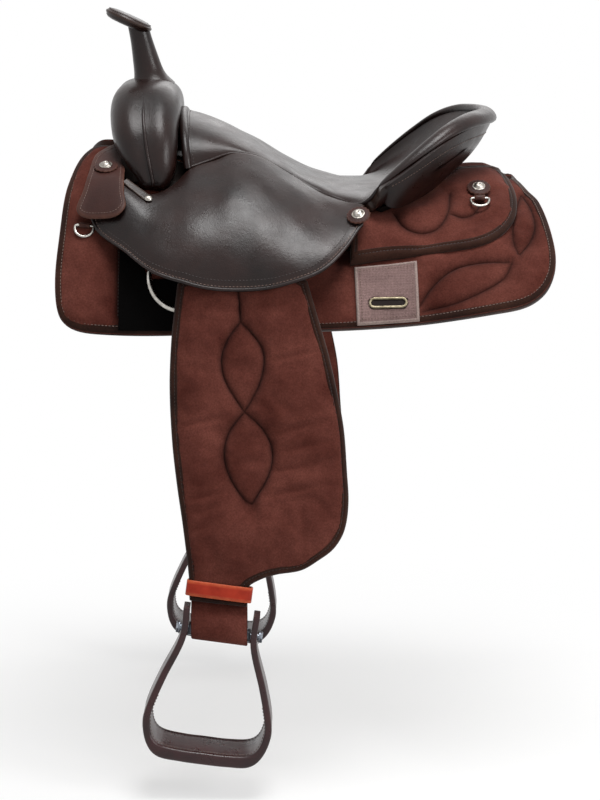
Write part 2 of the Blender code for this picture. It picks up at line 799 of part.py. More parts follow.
def seat_offset(u, v, d):
    """A point off the seat's top, d along its normal."""
    here = seat_point(u, v)
    near = 1 / SEAT_COLUMNS
    across = seat_point(min(u + 2 * near, 1), v) - seat_point(max(u - 2 * near, -1), v)
    along = seat_point(u, min(v + near, 1)) - seat_point(u, max(v - near, 0))
    return here + along.cross(across).normalized() * d


SEAT_COLUMNS = 14
SEAT_ROWS = 11
SEAT_SPREAD = 0.99
GROUND_GAP = 0.0020


def make_seat():
    def point(a, b):
        return seat_point(SEAT_SPREAD * (2 * b - 1), a)
    return sheet("seat", point, SEAT_COLUMNS, SEAT_ROWS, SEAT_PADDING)


def seat_row(line):
    """The value of u on one of the seat's lengthwise lines, counted from the left edge."""
    return SEAT_SPREAD * (2 * line / SEAT_ROWS - 1)


def make_ground_seat():
    """The strainer and ground leather: an arch from bar to bar that carries the seat."""
    first, last = 2, 9
    low, high = 2, SEAT_ROWS - 2
    foot_rows = 2
    rows = high - low + 2 * foot_rows

    def point(a, b):
        v = (first + (last - first) * a) / SEAT_COLUMNS
        line = b * rows - foot_rows + low
        near = min(max(line, low), high)
        inner = seat_offset(seat_row(near), v, -SEAT_PADDING - GROUND_GAP)
        down = abs(line - near) / foot_rows
        foot = back(inner.x, BAR_WAIST - 0.046, ON_SKIRT + smooth(BAR_THICKNESS, inner.x) - 0.002)
        foot.y = math.copysign(foot.y, inner.y)
        return inner.lerp(foot, down)
    return finish(sheet("ground_seat", point, last - first, rows, GROUND_LEATHER), "rigging_leather")


# Cantle.

def cantle_base(u, lift):
    """The line where the back of the cantle comes down behind the seat."""
    rise = math.cos(0.5 * math.pi * u)
    return Vector((0.086 + 0.100 * rise, 0.170 * math.sin(0.5 * math.pi * u),
                   0.026 + 0.040 * rise ** 1.5 + lift))


def cantle_top(u):
    """Where the back of the cantle ends, under the rolled rim."""
    rise = math.cos(0.5 * math.pi * u)
    return cantle_rim(u, 0.004 + 0.010 * (1 - rise), -0.022)


def cantle_rim(u, out, up):
    """A point by the rim, moved outward in plan and upward."""
    here = seat_point(u, 1.0)
    angle = 0.5 * math.pi * u
    outward = Vector((math.cos(angle), math.sin(angle), 0.0))
    return here + outward * out + Vector((0, 0, up))


def make_cantle():
    """The wooden cantle between the seat's dish in front and the leather back behind."""
    rings = []
    for line in range(1, SEAT_ROWS):
        u = seat_row(line)
        dish = [seat_offset(u, column_line / SEAT_COLUMNS, -SEAT_PADDING - GROUND_GAP)
                for column_line in (12, 11, 10)]
        base = cantle_base(u, -0.002)
        top = cantle_top(u)
        toe = dish[-1] + Vector((0.006, 0, -0.004))
        rings.append(dish + [toe, base, base.lerp(top, 0.5), top])
    return loft("tree_cantle", rings)


def make_cantle_back():
    """The leather on the back of the cantle, drawn up to the rolled rim."""
    def point(a, b):
        u = seat_row(1.5 + (SEAT_ROWS - 3) * a)
        base = cantle_base(u, 0.0)
        top = cantle_top(u)
        across = 0.5 * math.pi * u
        outward = Vector((math.cos(across), math.sin(across), -0.6)).normalized()
        return base.lerp(top, b) + outward * (LEATHER + 1.8 * GROUND_GAP)
    return sheet("cantle_back", point, SEAT_ROWS - 2, 4, LEATHER)


def make_cantle_roll():
    """The rolled rim: a flattened roll laid outward along the cantle's top edge."""
    rings = []
    steps = 18
    for k in range(steps + 1):
        u = 2 * k / steps - 1
        angle = 0.5 * math.pi * u
        outward = Vector((math.cos(angle), math.sin(angle), 0.0))
        full = 0.45 + 0.55 * math.cos(angle) ** 0.5 if abs(u) < 1 else 0.45
        middle = cantle_rim(u, 0.0115 * full + 0.0023, 0.001)
        ring = []
        for j in range(8):
            turn = 2 * math.pi * j / 8
            ring.append(middle + outward * 0.0115 * full * math.cos(turn)
                        + Vector((0, 0, 0.0085 * full * math.sin(turn) - 0.004 * math.cos(turn))))
        rings.append(ring)
    return finish(loft("cantle_roll", rings), "seat_leather")


# Horn.


def horn_frame(share):
    """A frame on the neck's axis, share 0 at its base and 1 at its top."""
    axis = (HORN_TOP - HORN_BASE).normalized()
    frame = axis.to_track_quat("Z", "Y").to_matrix().to_4x4()
    frame.translation = HORN_BASE.lerp(HORN_TOP, share)
    return frame


def make_horn():
    height = (HORN_TOP - HORN_BASE).length
    base = horn_frame(0.0)
    bore = HORN_POST_RADIUS + GAP
    flare = HORN_NECK_RADIUS
    neck = turned("horn_wrap", [(bore, height), (flare * 1.22, height), (flare * 1.02, height * 0.84),
                                (flare, height * 0.5), (flare * 1.15, height * 0.25),
                                (flare * 1.75, height * 0.04), (flare * 1.9, 0.0), (bore, 0.0),
                                (bore, height)], base, steps=16)
    post_top = height + 0.5 * HORN_CAP_THICKNESS
    post = turned("horn_post", [(0.0, post_top), (HORN_POST_RADIUS, post_top),
                                (HORN_POST_RADIUS, -0.020), (0.0, -0.020)], base, steps=12)
    tilt = Matrix.Translation(HORN_TOP + Vector((-0.009, 0, 0.0125)))
    tilt = tilt @ Matrix.Rotation(-HORN_CAP_TILT, 4, "Y")
    half = 0.5 * HORN_CAP_THICKNESS
    disc = [(0.0, half), (0.70, half * 0.95), (0.93, half * 0.55), (1.0, 0.0), (0.95, -half * 0.55),
            (0.75, -half), (0.0, -half)]
    unit = turned("horn_cap", disc, Matrix.Identity(4), steps=20)
    shape = Matrix.Diagonal((0.5 * HORN_CAP_LENGTH, 0.5 * HORN_CAP_WIDTH, 1.0, 1.0))
    unit.data.transform(tilt @ shape)
    socket = turned("horn_cap_socket", [(0.0, post_top + GAP), (bore, post_top + GAP),
                                        (bore, -0.020 - GAP), (0.0, -0.020 - GAP)], base, steps=12,
                    where=CUTTERS)
    return post, neck, unit, socket


def make_concho(name, frame, where=PARTS):
    """A domed metal concho on its leather rosette."""
    high = ROSETTE_THICKNESS
    return finish(turned(name, [
        (0.0, high + CONCHO_RISE), (CONCHO_RADIUS * 0.5, high + CONCHO_RISE * 0.85),
        (CONCHO_RADIUS * 0.9, high + CONCHO_RISE * 0.35), (CONCHO_RADIUS, high),
        (ROSETTE_RADIUS * 0.9, high), (ROSETTE_RADIUS, 0.0), (0.0, 0.0)],
        frame, steps=12, where=where), "steel")


# Seat jockey.

JOCKEY_LOWER = (
    (-0.282, 0.022), (-0.268, 0.000), (-0.226, -0.026), (-0.1815, -0.050), (-0.137, -0.063),
    (-0.085, -0.068), (-0.034, -0.062), (0.018, -0.044), (0.050, -0.018), (0.074, 0.012),
)


def make_seat_jockey():
    top = 0.003
    lower = side(flank, 0.5 * JOCKEY_LEATHER, *JOCKEY_LOWER)
    lower[0] = (*lower[0], "corner")
    lower[-1] = (*lower[-1], "corner")
    points = lower + [(0.076, top, "corner"), (-0.150, top, "corner")]
    points += side(flank, 0.5 * JOCKEY_LEATHER, (-0.175, 0.046), (-0.206, 0.036),
                   (-0.245, 0.048, "corner"))
    jockey = panel("seat_jockey", flank, points, -0.5 * JOCKEY_LEATHER, 0.5 * JOCKEY_LEATHER,
                   pitch=(0.040, 0.030))
    screw = turned("jockey_screw", [(0.0, 0.0035), (0.006, 0.0025), (0.0075, -0.002), (0.0, -0.002)],
                   jockey_spot(-0.200, 0.024), steps=8, where=CUTTERS)
    return finish(fused(jockey, screw), "seat_leather")


# Fender and what hangs with it, in the fender's plane: u along the saddle from the lift
# hinge's middle, v down the fender, n outward.


def fender_frame():
    c, s = math.cos(FENDER_LEAN), math.sin(FENDER_LEAN)
    frame = Matrix(((1, 0, 0), (0, s, c), (0, -c, s))).to_4x4()
    frame.translation = FENDER_TOP
    return frame


def hanging(x, z):
    """The fender-plane place of a side-view point."""
    return x - FENDER_TOP.x, (FENDER_TOP.z - z) / math.cos(FENDER_LEAN)


FENDER_SIDE = (
    (-0.1675, -0.102), (-0.172, -0.136), (-0.174, -0.191), (-0.171, -0.259), (-0.165, -0.314),
    (-0.157, -0.370), (-0.1495, -0.435), (-0.149, -0.462, "corner"), (-0.077, -0.470, "corner"),
    (-0.0765, -0.447), (-0.061, -0.436), (-0.039, -0.429), (-0.007, -0.4235), (0.015, -0.411),
    (0.035, -0.3955), (0.048, -0.373), (0.053, -0.339), (0.051, -0.298), (0.047, -0.245),
    (0.039, -0.201), (0.0265, -0.147), (0.012, -0.102),
)
FENDER_TOP_EDGES = (-0.1625, 0.0085)
FENDER_CHANNELS = (
    ((-0.0845, -0.108), (-0.108, -0.150), (-0.089, -0.205), (-0.081, -0.219)),
    ((-0.0815, -0.108), (-0.054, -0.150), (-0.0755, -0.205), (-0.0785, -0.219)),
    ((-0.0805, -0.225), (-0.107, -0.275), (-0.082, -0.320), (-0.069, -0.338)),
    ((-0.0775, -0.225), (-0.044, -0.270), (-0.058, -0.320), (-0.0665, -0.336)),
)


def make_fender():
    """The quilted fender: crowned, with a full-round top edge on the lift hinge's axis."""
    frame = fender_frame()
    left, right = (x - FENDER_TOP.x for x in FENDER_TOP_EDGES)
    roll = 0.5 * FENDER_THICKNESS
    crest = -roll * math.cos(math.radians(10))
    points = [(left, crest, "corner")]
    for x, z, *kind in FENDER_SIDE:
        points.append((*hanging(x, z), *kind))
    points.append((right, crest, "corner"))
    form = slab([points], FENDER_THICKNESS, detail=1)
    sliced(form, 0, 1 / 0.058)
    sliced(form, 1 / 0.045, 0)
    for degrees in (45, 72):
        level = Vector((0, -roll * math.sin(math.radians(degrees)), 0))
        parts = form.verts[:] + form.edges[:] + form.faces[:]
        bmesh.ops.bisect_plane(form, geom=parts, dist=1e-6, plane_co=level, plane_no=(0, 1, 0))
    for v in form.verts:
        u, down, out = v.co
        if down < 0:
            v.co.z = math.copysign(math.sqrt(roll ** 2 - down ** 2), out)
        crown = max(0.0, 1 - ((u + 0.01) / 0.09) ** 2) * min(1.0, max(0.0, down) / 0.04)
        fade = min(1.0, max(0.0, 0.345 - down) / 0.06)
        if out > 0.4 * FENDER_THICKNESS and down > 0:
            v.co.z += 0.0035 * crown * fade
    bmesh.ops.triangulate(form, faces=[f for f in form.faces if len(f.verts) > 4])
    bmesh.ops.transform(form, matrix=frame, verts=form.verts)
    fender = finished(form, "fender")

    def on_fender(u, v, n):
        return frame @ Vector((u, v, n))
    for k, line in enumerate(FENDER_CHANNELS):
        path = [hanging(x, z) for x, z in line]
        cut(fender, quilt_cutter(f"fender_channel_{k}", on_fender, path, roll + 0.0030))
    return finish(applied(fender), "cordura")


def make_fender_tab():
    """The fender's top, hidden under the jockey, down to the lift hinge."""
    frame = fender_frame()
    left, right = (x - FENDER_TOP.x for x in FENDER_TOP_EDGES)
    foot = -0.5 * FENDER_THICKNESS - LIFT_GAP
    points = [(left, foot, "corner"), (right, foot, "corner"), (right - 0.006, foot - 0.018),
              (right - 0.03, foot - 0.036), (0.0, foot - 0.052), (left + 0.03, foot - 0.036),
              (left + 0.005, foot - 0.018)]
    thickness = 0.5 * FENDER_THICKNESS + PLY * 1.45 + 0.5 * FENDER_THICKNESS
    back_face = frame @ Matrix.Translation((0, 0, 0.5 * FENDER_THICKNESS - thickness))
    return finish(plate("fender_tab", [points], thickness, back_face, detail=3, rim=0.0015),
                  "cordura")


def band(name, path, thickness, u_low, u_high, frame, where=PARTS):
    """A strap of even thickness that follows a path of (v, n) and runs across in u."""
    left, right = [], []
    last = len(path) - 1
    for k, (v, n) in enumerate(path):
        before, after = path[max(k - 1, 0)], path[min(k + 1, last)]
        dv, dn = after[0] - before[0], after[1] - before[1]
        run = math.hypot(dv, dn)
        left.append((v - dn / run * 0.5 * thickness, n + dv / run * 0.5 * thickness))
        right.append((v + dn / run * 0.5 * thickness, n - dv / run * 0.5 * thickness))
    loop = left + right[::-1]
    rings = [[frame @ Vector((u, v, n)) for v, n in loop] for u in (u_low, u_high)]
    return loft(name, rings, where)


LEATHER_MIDDLE = -0.112 - FENDER_TOP.x
LEATHER_TOP = 0.012
BUCKLE_DROP = 0.215


def ply_level(number):
    """Height of a ply's middle off the fender's mid-plane; ply 0 lies on the fender's back."""
    return -(0.5 * FENDER_THICKNESS + 0.5 * PLY + SEW_GAP + number * (PLY + SEW_GAP))


def make_stirrup_leather():
    """Two plies behind the fender that open at the bottom round the stirrup's roller."""
    frame = fender_frame()
    first, second = ply_level(0), ply_level(1)
    radius = ROLLER_RADIUS + 2 * RUNNING_GAP + 0.5 * PLY
    path = [(LEATHER_TOP, first), (BOLT_DROP - 0.034, first), (BOLT_DROP - 0.018, first + radius)]
    path += [(BOLT_DROP + radius * math.sin(a), first + radius * math.cos(a))
             for a in (math.radians(d) for d in (5, 40, 75, 105, 140, 175))]
    path += [(BOLT_DROP - 0.022, first - radius * 0.9), (BOLT_DROP - 0.045, second),
             (LEATHER_TOP, second)]
    half = 0.5 * LEATHER_WIDTH
    # The strap hangs forward a little: each ply is slanted by moving its lower end in u.
    thing = band("stirrup_leather", path, PLY, -half, half, Matrix.Identity(4))
    for v in thing.data.vertices:
        share = min(1.0, max(0.0, v.co.y) / 0.36)
        v.co.y += v.co.x * math.tan(STIRRUP_TILT) * share
        v.co.x += LEATHER_MIDDLE * share
    thing.data.transform(frame)
    return finish(thing, "cordura")


def buckle_frame():
    """On the back of the inner ply: X along the saddle, Y up the strap, Z toward the horse."""
    level = ply_level(1) - 0.5 * PLY - SEW_GAP
    lean = LEATHER_MIDDLE * BUCKLE_DROP / 0.36
    place_at = Matrix.Translation((lean, BUCKLE_DROP, level))
    return fender_frame() @ place_at @ Matrix.Rotation(math.pi, 4, "X")


def make_buckle():
    """The lengthening buckle: a plate, and a sleeve that slides over it."""
    centre = buckle_frame()
    half_w, half_h = 0.5 * LEATHER_WIDTH + 0.001, 0.021
    body = plate("leather_buckle", [[(-half_w, -half_h, "corner"), (half_w, -half_h, "corner"),
                                     (half_w, half_h, "corner"), (-half_w, half_h, "corner")]],
                 0.0022, centre, rim=0.0006)
    lower = centre @ Matrix.Translation((0, -0.008, 0.0022 + RUNNING_GAP))
    half_s = half_w + 0.002
    sleeve = plate("buckle_sleeve", [[(-half_s, -0.012, "corner"), (half_s, -0.012, "corner"),
                                      (half_s, 0.012, "corner"), (-half_s, 0.012, "corner")]],
                   0.0018, lower, rim=0.0005)
    return finish(body, "steel"), finish(sleeve, "steel")


def make_hobble_strap():
    """The red strap round the fender's neck and the leathers, tilted with the stirrup."""
    frame = fender_frame()
    outer = 0.5 * FENDER_THICKNESS + SEW_GAP
    inner = ply_level(1) - 0.5 * PLY - SEW_GAP
    drop = hanging(0.0, -0.451)[1]
    half = 0.5 * LEATHER_WIDTH + 0.0037
    wall = 0.0028
    tilt = Matrix.Rotation(STIRRUP_TILT, 4, "Z")
    centre = frame @ Matrix.Translation((LEATHER_MIDDLE, drop, 0.5 * (outer + inner))) @ tilt
    deep = 0.5 * (outer - inner)
    loops = []
    for grow in (wall, 0.0):
        loops.append([(sx * (half + grow), sy * (deep + grow))
                      for sx, sy in ((-1, -0.85), (-1, 0.85), (-0.97, 1), (0, 1), (0.97, 1),
                                     (1, 0.85), (1, -0.85), (0.97, -1), (0, -1), (-0.97, -1))])
    height = 0.020
    upright = centre @ Matrix.Rotation(math.pi / 2, 4, "X") @ Matrix.Translation((0, 0, -0.5 * height))
    rings = []
    outer_loop, inner_loop = loops
    form = bmesh.new()
    for z in (0.0, height):
        for loop in (outer_loop, inner_loop):
            rings.append([form.verts.new(upright @ Vector((x, y, z))) for x, y in loop])
    count = len(outer_loop)
    for first, second in ((0, 2), (3, 1), (1, 0), (2, 3)):
        for k in range(count):
            after = (k + 1) % count
            form.faces.new((rings[first][k], rings[first][after],
                            rings[second][after], rings[second][k]))
    return finish(finished(form, "hobble_strap"), "red_leather")


# Stirrup.


def bolt_place():
    return fender_frame() @ Vector((LEATHER_MIDDLE, BOLT_DROP, ply_level(0)))


def stirrup_frame():
    """X along the bolt, Y up in the stirrup's plane, Z across the tread."""
    tilt = Matrix.Rotation(STIRRUP_TILT, 4, "Y")
    upright = Matrix.Rotation(math.pi / 2, 4, "X")
    return Matrix.Translation(bolt_place()) @ tilt @ upright


def make_stirrup():
    frame = stirrup_frame()
    neck, wide, tall = STIRRUP_NECK, STIRRUP_HALF_WIDTH, STIRRUP_HEIGHT
    half_outer = [(neck - 0.001, STIRRUP_EAR), (neck, -0.010), (wide - 0.002, -0.102),
                  (wide, -0.125), (wide - 0.008, -0.150), (wide - 0.022, -tall + 0.003),
                  (0.030, -tall)]
    half_inner = [(0.026, -tall + STIRRUP_TREAD), (wide - 0.027, -tall + STIRRUP_TREAD + 0.003),
                  (wide - 0.015, -0.140), (wide - 0.0095, -0.122), (wide - 0.0105, -0.104),
                  (neck - STIRRUP_LEG, -0.012), (neck - STIRRUP_LEG - 0.001, STIRRUP_EAR)]

    def kinds(half):
        return [(*p, "corner") if abs(p[1] - STIRRUP_EAR) < 1e-6 else p for p in half]
    right_side = kinds(half_outer)
    inner_side = kinds(half_inner)
    outline = [(-x, *rest) for x, *rest in right_side] + right_side[::-1]
    outline += inner_side[::-1] + [(-x, *rest) for x, *rest in inner_side]
    form = slab([outline], 1.0, detail=2)
    sliced(form, 0, 1 / 0.03)
    for v in form.verts:
        share = min(1.0, max(0.0, -v.co.y / 0.150))
        depth = STIRRUP_TOP_DEPTH + (TREAD_DEPTH - STIRRUP_TOP_DEPTH) * share ** 1.3
        v.co.z *= depth
    bmesh.ops.triangulate(form, faces=[f for f in form.faces if len(f.verts) > 4])
    bmesh.ops.transform(form, matrix=frame, verts=form.verts)
    stirrup = finished(form, "stirrup")
    bore = turned("stirrup_bore", [(0.0, 0.1), (BOLT_RADIUS + GAP, 0.1), (BOLT_RADIUS + GAP, -0.1),
                                   (0.0, -0.1)],
                  frame @ Matrix.Rotation(math.pi / 2, 4, "Y"), steps=12, where=CUTTERS)
    return finish(applied(cut(stirrup, bore)), "dark_leather")


def make_stirrup_bolt():
    """The bolt across the stirrup's neck, with the roller that the leather lies on."""
    frame = stirrup_frame() @ Matrix.Rotation(math.pi / 2, 4, "Y")
    face = STIRRUP_NECK + 0.0012
    head = 0.0045
    head_radius = BOLT_RADIUS * 1.9
    half = STIRRUP_NECK - STIRRUP_LEG - 0.0022
    return finish(turned("stirrup_bolt", [
        (0.0, face + head), (head_radius, face + head), (head_radius, face), (BOLT_RADIUS, face),
        (BOLT_RADIUS, half), (ROLLER_RADIUS, half), (ROLLER_RADIUS, -half), (BOLT_RADIUS, -half),
        (BOLT_RADIUS, -face), (head_radius, -face), (head_radius, -face - head),
        (0.0, -face - head)], frame, steps=12), "steel")


# Rigging.


def dee_place():
    return side(back, ON_SKIRT + 0.0032, (-0.161, -0.0885))[0]


def dee_frame():
    """The dee's plate: X along the saddle, Y down the skirt, Z off it, at the ring's centre."""
    x, s = dee_place()
    flat = on_surface(back, x, s, ON_SKIRT + NEOPRENE + 3 * RUNNING_GAP)
    return flat @ Matrix.Translation((0, -0.034, 0))


DEE_BAR = -0.30 * DEE_RADIUS


def dee_hinge():
    """A frame on the middle of the dee's top bar, which it turns on."""
    return dee_frame() @ Matrix.Translation((0, DEE_BAR + 0.5 * DEE_BAND, 0.5 * DEE_PLATE))


def make_dee_axis():
    return dee_hinge().translation


def make_rigging_dee():
    """A flat dee whose top bar turns in the rigging strap."""
    loops = []
    for grow in (0.0, DEE_BAND):
        radius = DEE_RADIUS - grow
        reach = math.asin((DEE_BAR + grow) / radius)
        steps = 10
        knots = []
        for k in range(steps + 1):
            angle = reach + (math.pi - 2 * reach) * k / steps
            kind = ("corner",) if k in (0, steps) else ()
            knots.append((radius * math.cos(angle), radius * math.sin(angle), *kind))
        loops.append(knots)
    return finish(plate("rigging_dee", loops, DEE_PLATE, dee_frame(), detail=2), "steel")


def strip(name, path_at, thickness, stations, where=PARTS):
    """A strap across the saddle's length: path_at(x) gives its middle line as (y, z)."""
    rings = []
    for x in stations:
        path = path_at(x)
        last = len(path) - 1
        upper, lower = [], []
        for k, (y, z) in enumerate(path):
            before, after = path[max(k - 1, 0)], path[min(k + 1, last)]
            dy, dz = after[0] - before[0], after[1] - before[1]
            half = 0.5 * thickness / math.hypot(dy, dz)
            upper.append(Vector((x, y - dz * half, z + dy * half)))
            lower.append(Vector((x, y + dz * half, z - dy * half)))
        rings.append(upper + lower[::-1])
    return loft(name, rings, where)


def make_bight(name="stirrup_leather_bight", spread=0.0, where=PARTS):
    """The stirrup leather's turn over the bar, and its tail that the fender hangs on.

    With a spread it is the tool for the groove that the strap lies in.
    """
    frame = fender_frame()
    level = -0.5 * FENDER_THICKNESS - 1.45 * PLY - SEW_GAP - 0.5 * PLY

    def path_at(x):
        tail = [frame @ Vector((0, v, level)) for v in (SWING_DROP + 0.020, -0.040, -0.058)]
        around = [back(x, 0.168, ON_SKIRT + 0.013)]
        for s in (0.146, 0.128, 0.100, 0.070, 0.046):
            around.append(back(x, s, ON_SKIRT + max(0.004, bar_height(x, s)) + 0.5 * PLY + 0.0042))
        around.append(back(x, 0.029, ON_SKIRT + 0.010))
        for s in (0.038, 0.060, 0.090, 0.120, 0.146):
            around.append(back(x, s, ON_SKIRT + 0.5 * PLY + 2 * LAYER_GAP))
        if spread:
            around.append(back(x, 0.155, ON_SKIRT + 0.5 * PLY + 2 * LAYER_GAP))
        return [(p.y, p.z) for p in tail + around]
    middle = FENDER_TOP.x
    half = BIGHT_HALF_WIDTH + spread
    stations = [middle - half, -2 * CELL_LENGTH, middle + half]
    return finish(strip(name, path_at, PLY + 2 * spread, stations, where), "rigging_leather")


def make_rigging_strap():
    """The leather that comes down from the tree and turns round the dee's bar."""
    axis = make_dee_axis()
    radius = math.hypot(0.5 * DEE_BAND, 0.5 * DEE_PLATE) + RUNNING_GAP + 0.5 * RIGGING_LEATHER
    down = dee_frame().col[1].xyz
    off = dee_frame().col[2].xyz

    def path_at(x):
        slip = (x - axis.x) / dee_frame().col[0].x
        centre = axis + dee_frame().col[0].xyz * slip
        around = []
        for degrees in (-60, -25, 15, 55, 90, 125, 165, 205):
            a = math.radians(degrees)
            around.append(centre + down * (radius * math.sin(a)) - off * (radius * math.cos(a)))
        s_bar = dee_place()[1] - 0.044
        first = bar_width(x) + 0.004
        lying = [back(x, first + (s_bar - 0.012 - first) * k / 3,
                      ON_SKIRT + 0.5 * RIGGING_LEATHER + 2 * LAYER_GAP) for k in range(4)]
        return [(p.y, p.z) for p in lying + around]
    half = 0.022
    stations = [axis.x - half, axis.x + half]
    return finish(strip("rigging_strap", path_at, RIGGING_LEATHER, stations), "rigging_leather")


def small_dee(name, frame):
    """A wire dee lying flat: its straight bar is the hinge."""
    r = SMALL_DEE_RADIUS
    bow = [frame @ Vector((r * math.cos(a), 0.004 + r * math.sin(a), 0.0))
           for a in (math.radians(d) for d in range(0, 181, 30))]
    ends = [frame @ Vector((-r, 0, 0)), frame @ Vector((r, 0, 0))]
    return finish(rod(name, bow + ends, SMALL_DEE_WIRE, sides=6, closed=True), "steel")


def dee_tab(name, frame, length):
    """A short leather loop round a small dee's bar, on a tail that lies on the panel."""
    radius = SMALL_DEE_WIRE + RUNNING_GAP + 0.5 * TAB_LEATHER
    tail = -RING_HEIGHT + 0.5 * TAB_LEATHER + LAYER_GAP
    path = [(-length, tail), (-radius * 1.6, tail)]
    for degrees in (-20, 20, 60, 100, 140, 180, 215):
        a = math.radians(degrees)
        path.append((radius * math.sin(a), -radius * math.cos(a)))
    return band(name, path, TAB_LEATHER, -0.007, 0.007, frame, where=CUTTERS)


def jockey_spot(x, z):
    """Where a fitting sits on the seat jockey, from its place in the side view."""
    x, s = side(flank, 0.5 * JOCKEY_LEATHER, (x, z))[0]
    return on_surface(flank, x, s, 0.5 * JOCKEY_LEATHER + 4 * LAYER_GAP)


def make_conchos():
    """The front jockey's concho, the seat jockey's, and the rear one with its dee's loop."""
    flap = side(back, ON_SKIRT + LEATHER, (-0.267, 0.080))[0]
    front = make_concho("front_concho", on_surface(back, *flap, ON_SKIRT + LEATHER + LAYER_GAP))
    middle = make_concho("seat_concho", jockey_spot(0.068, 0.020))
    loop_place = small_ring_frames()[1]
    loop = dee_tab("rear_dee_tab", loop_place, REAR_TAB_TAIL)
    sunk = LAYER_GAP + 0.8 * TAB_LEATHER - RING_HEIGHT
    rear = make_concho("rear_concho", loop_place @ Matrix.Translation((0, -REAR_CONCHO_UP, sunk)))
    return front, middle, finish(fused(rear, loop), "steel")


RING_HEIGHT = SMALL_DEE_WIRE + 2 * RUNNING_GAP + TAB_LEATHER + GAP


def small_ring_frames():
    """The straight bars of the breast-collar dee and of the little dee under the rear concho."""
    x, s = side(back, ON_SKIRT, (-0.288, 0.006))[0]
    front = on_surface(back, x, s, ON_SKIRT + RING_HEIGHT)
    top = ON_SKIRT + REAR_JOCKEY_THICKNESS
    x, s = side(over_bars, top, (0.228, 0.036))[0]
    rear = on_surface(over_bars, x, s, top + RING_HEIGHT)
    return front, rear


def make_small_rings():
    """The breast-collar dee on the skirt's front and the little dee under the rear concho."""
    front, rear = small_ring_frames()
    return small_dee("breast_collar_dee", front), small_dee("rear_dee", rear)


def tool_pair(tool):
    """The tool and its mirror image."""
    return tool, place(tool.name + "_left", mirrored(tool, "mate").data, CUTTERS)


def drop_mates():
    for thing in [o for o in bpy.data.objects if o.name.startswith("mate")]:
        bpy.data.objects.remove(thing)


def main():
    clear_scene()
    bars = tool_pair(make_bar("bar_tool", spread=GAP * 1.5, where=CUTTERS, inner=ON_SKIRT - 0.004))
    rests = tool_pair(make_rest_tool())
    drop_mates()
    grooves = tool_pair(make_bight("groove_tool", spread=SEW_GAP, where=CUTTERS))
    drop_mates()
    bar = finish(applied(cut(make_bar("tree_bar"), grooves[0])), "wood")
    fixed = [make_skirt(), make_fleece(), make_rear_jockey(), make_front_jockey(),
             make_rigging_panel(), *make_rear_rigging_tab(), bar, make_seat_jockey(),
             make_bight(), make_rigging_strap(), *make_conchos()]
    for thing in fixed:
        pair(thing)

    swing = fender_frame() @ Matrix.Translation((SWING_SHIFT, SWING_DROP, 0))
    hang_pair("fender_swing", swing, None, [make_fender_tab()])
    body, sleeve = make_buckle()
    hang_pair("fender_lift", fender_frame(), "fender_swing",
              [make_fender(), make_stirrup_leather(), body, make_hobble_strap()])
    hang_pair("sleeve_slide", buckle_frame(), "fender_lift", [sleeve])
    hang_pair("stirrup_swing", stirrup_frame(), "fender_lift", [make_stirrup(), make_stirrup_bolt()])
    hang_pair("rigging_dee_turn", dee_hinge(), None, [make_rigging_dee()])
    collar_place, rear_place = small_ring_frames()
    collar_dee, rear_dee = make_small_rings()
    hang_pair("collar_dee_turn", collar_place, None, [collar_dee])
    hang_pair("rear_dee_turn", rear_place, None, [rear_dee])

    post, neck, cap, socket = make_horn()
    whole_fork = make_fork("fork_tool", 2 * GAP, CUTTERS)
    fork = make_fork("tree_fork", -LEATHER - 3 * GAP)
    cut(fork, *bars, *rests, socket, solver="MANIFOLD")
    finish(applied(fork), "wood")
    cover = applied(make_fork_cover())
    cut(cover, *bars, *rests, socket)
    finish(applied(cover), "seat_leather")
    cap_tool = place("cap_tool", cap.data.copy(), CUTTERS)
    finish(applied(cut(neck, whole_fork, cap_tool)), "seat_leather")
    finish(applied(cut(cap, socket)), "seat_leather")
    finish(post, "steel")
    finish(applied(cut(applied(make_seat()), *bars)), "seat_leather")
    make_cantle_roll()
    finish(applied(cut(applied(make_cantle_back()), *bars)), "seat_leather")
    finish(applied(cut(make_cantle(), *bars)), "wood")
    ground = cut(applied(make_ground_seat()), *bars, *grooves, solver="MANIFOLD")
    finish(applied(ground), "rigging_leather")


main()
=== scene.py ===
# %% [markdown]
# A western trail saddle hangs in the air as if it sat on a rack: a tree covered in dark leather,
# with skirts, rear jockeys and fenders of quilted cordura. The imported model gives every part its
# place and size. This notebook puts sewn, padded and polished surfaces on that frame.

# %% Load the frame
import math

import bmesh
import bpy
import numpy as np
from mathutils import Matrix, Vector, geometry


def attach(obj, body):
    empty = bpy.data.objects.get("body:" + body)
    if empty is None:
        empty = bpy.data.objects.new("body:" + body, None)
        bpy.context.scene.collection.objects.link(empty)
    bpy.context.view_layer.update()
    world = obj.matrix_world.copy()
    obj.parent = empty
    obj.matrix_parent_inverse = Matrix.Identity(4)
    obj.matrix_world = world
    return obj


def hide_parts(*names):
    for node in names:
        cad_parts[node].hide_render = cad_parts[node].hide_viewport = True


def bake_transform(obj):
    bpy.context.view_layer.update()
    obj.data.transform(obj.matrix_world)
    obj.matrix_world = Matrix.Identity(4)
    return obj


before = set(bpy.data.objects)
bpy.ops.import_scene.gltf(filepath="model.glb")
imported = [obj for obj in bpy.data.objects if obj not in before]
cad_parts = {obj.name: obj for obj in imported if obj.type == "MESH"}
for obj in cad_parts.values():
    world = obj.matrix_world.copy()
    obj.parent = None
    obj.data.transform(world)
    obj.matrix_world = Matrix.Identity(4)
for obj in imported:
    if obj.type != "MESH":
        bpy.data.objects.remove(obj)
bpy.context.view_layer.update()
SIDES = ("right", "left")

# %% [markdown]
# The camera stands on the horse's left side, a little above the saddle, as a catalogue
# photographer would with a long lens. The long lens keeps the far side from growing small.

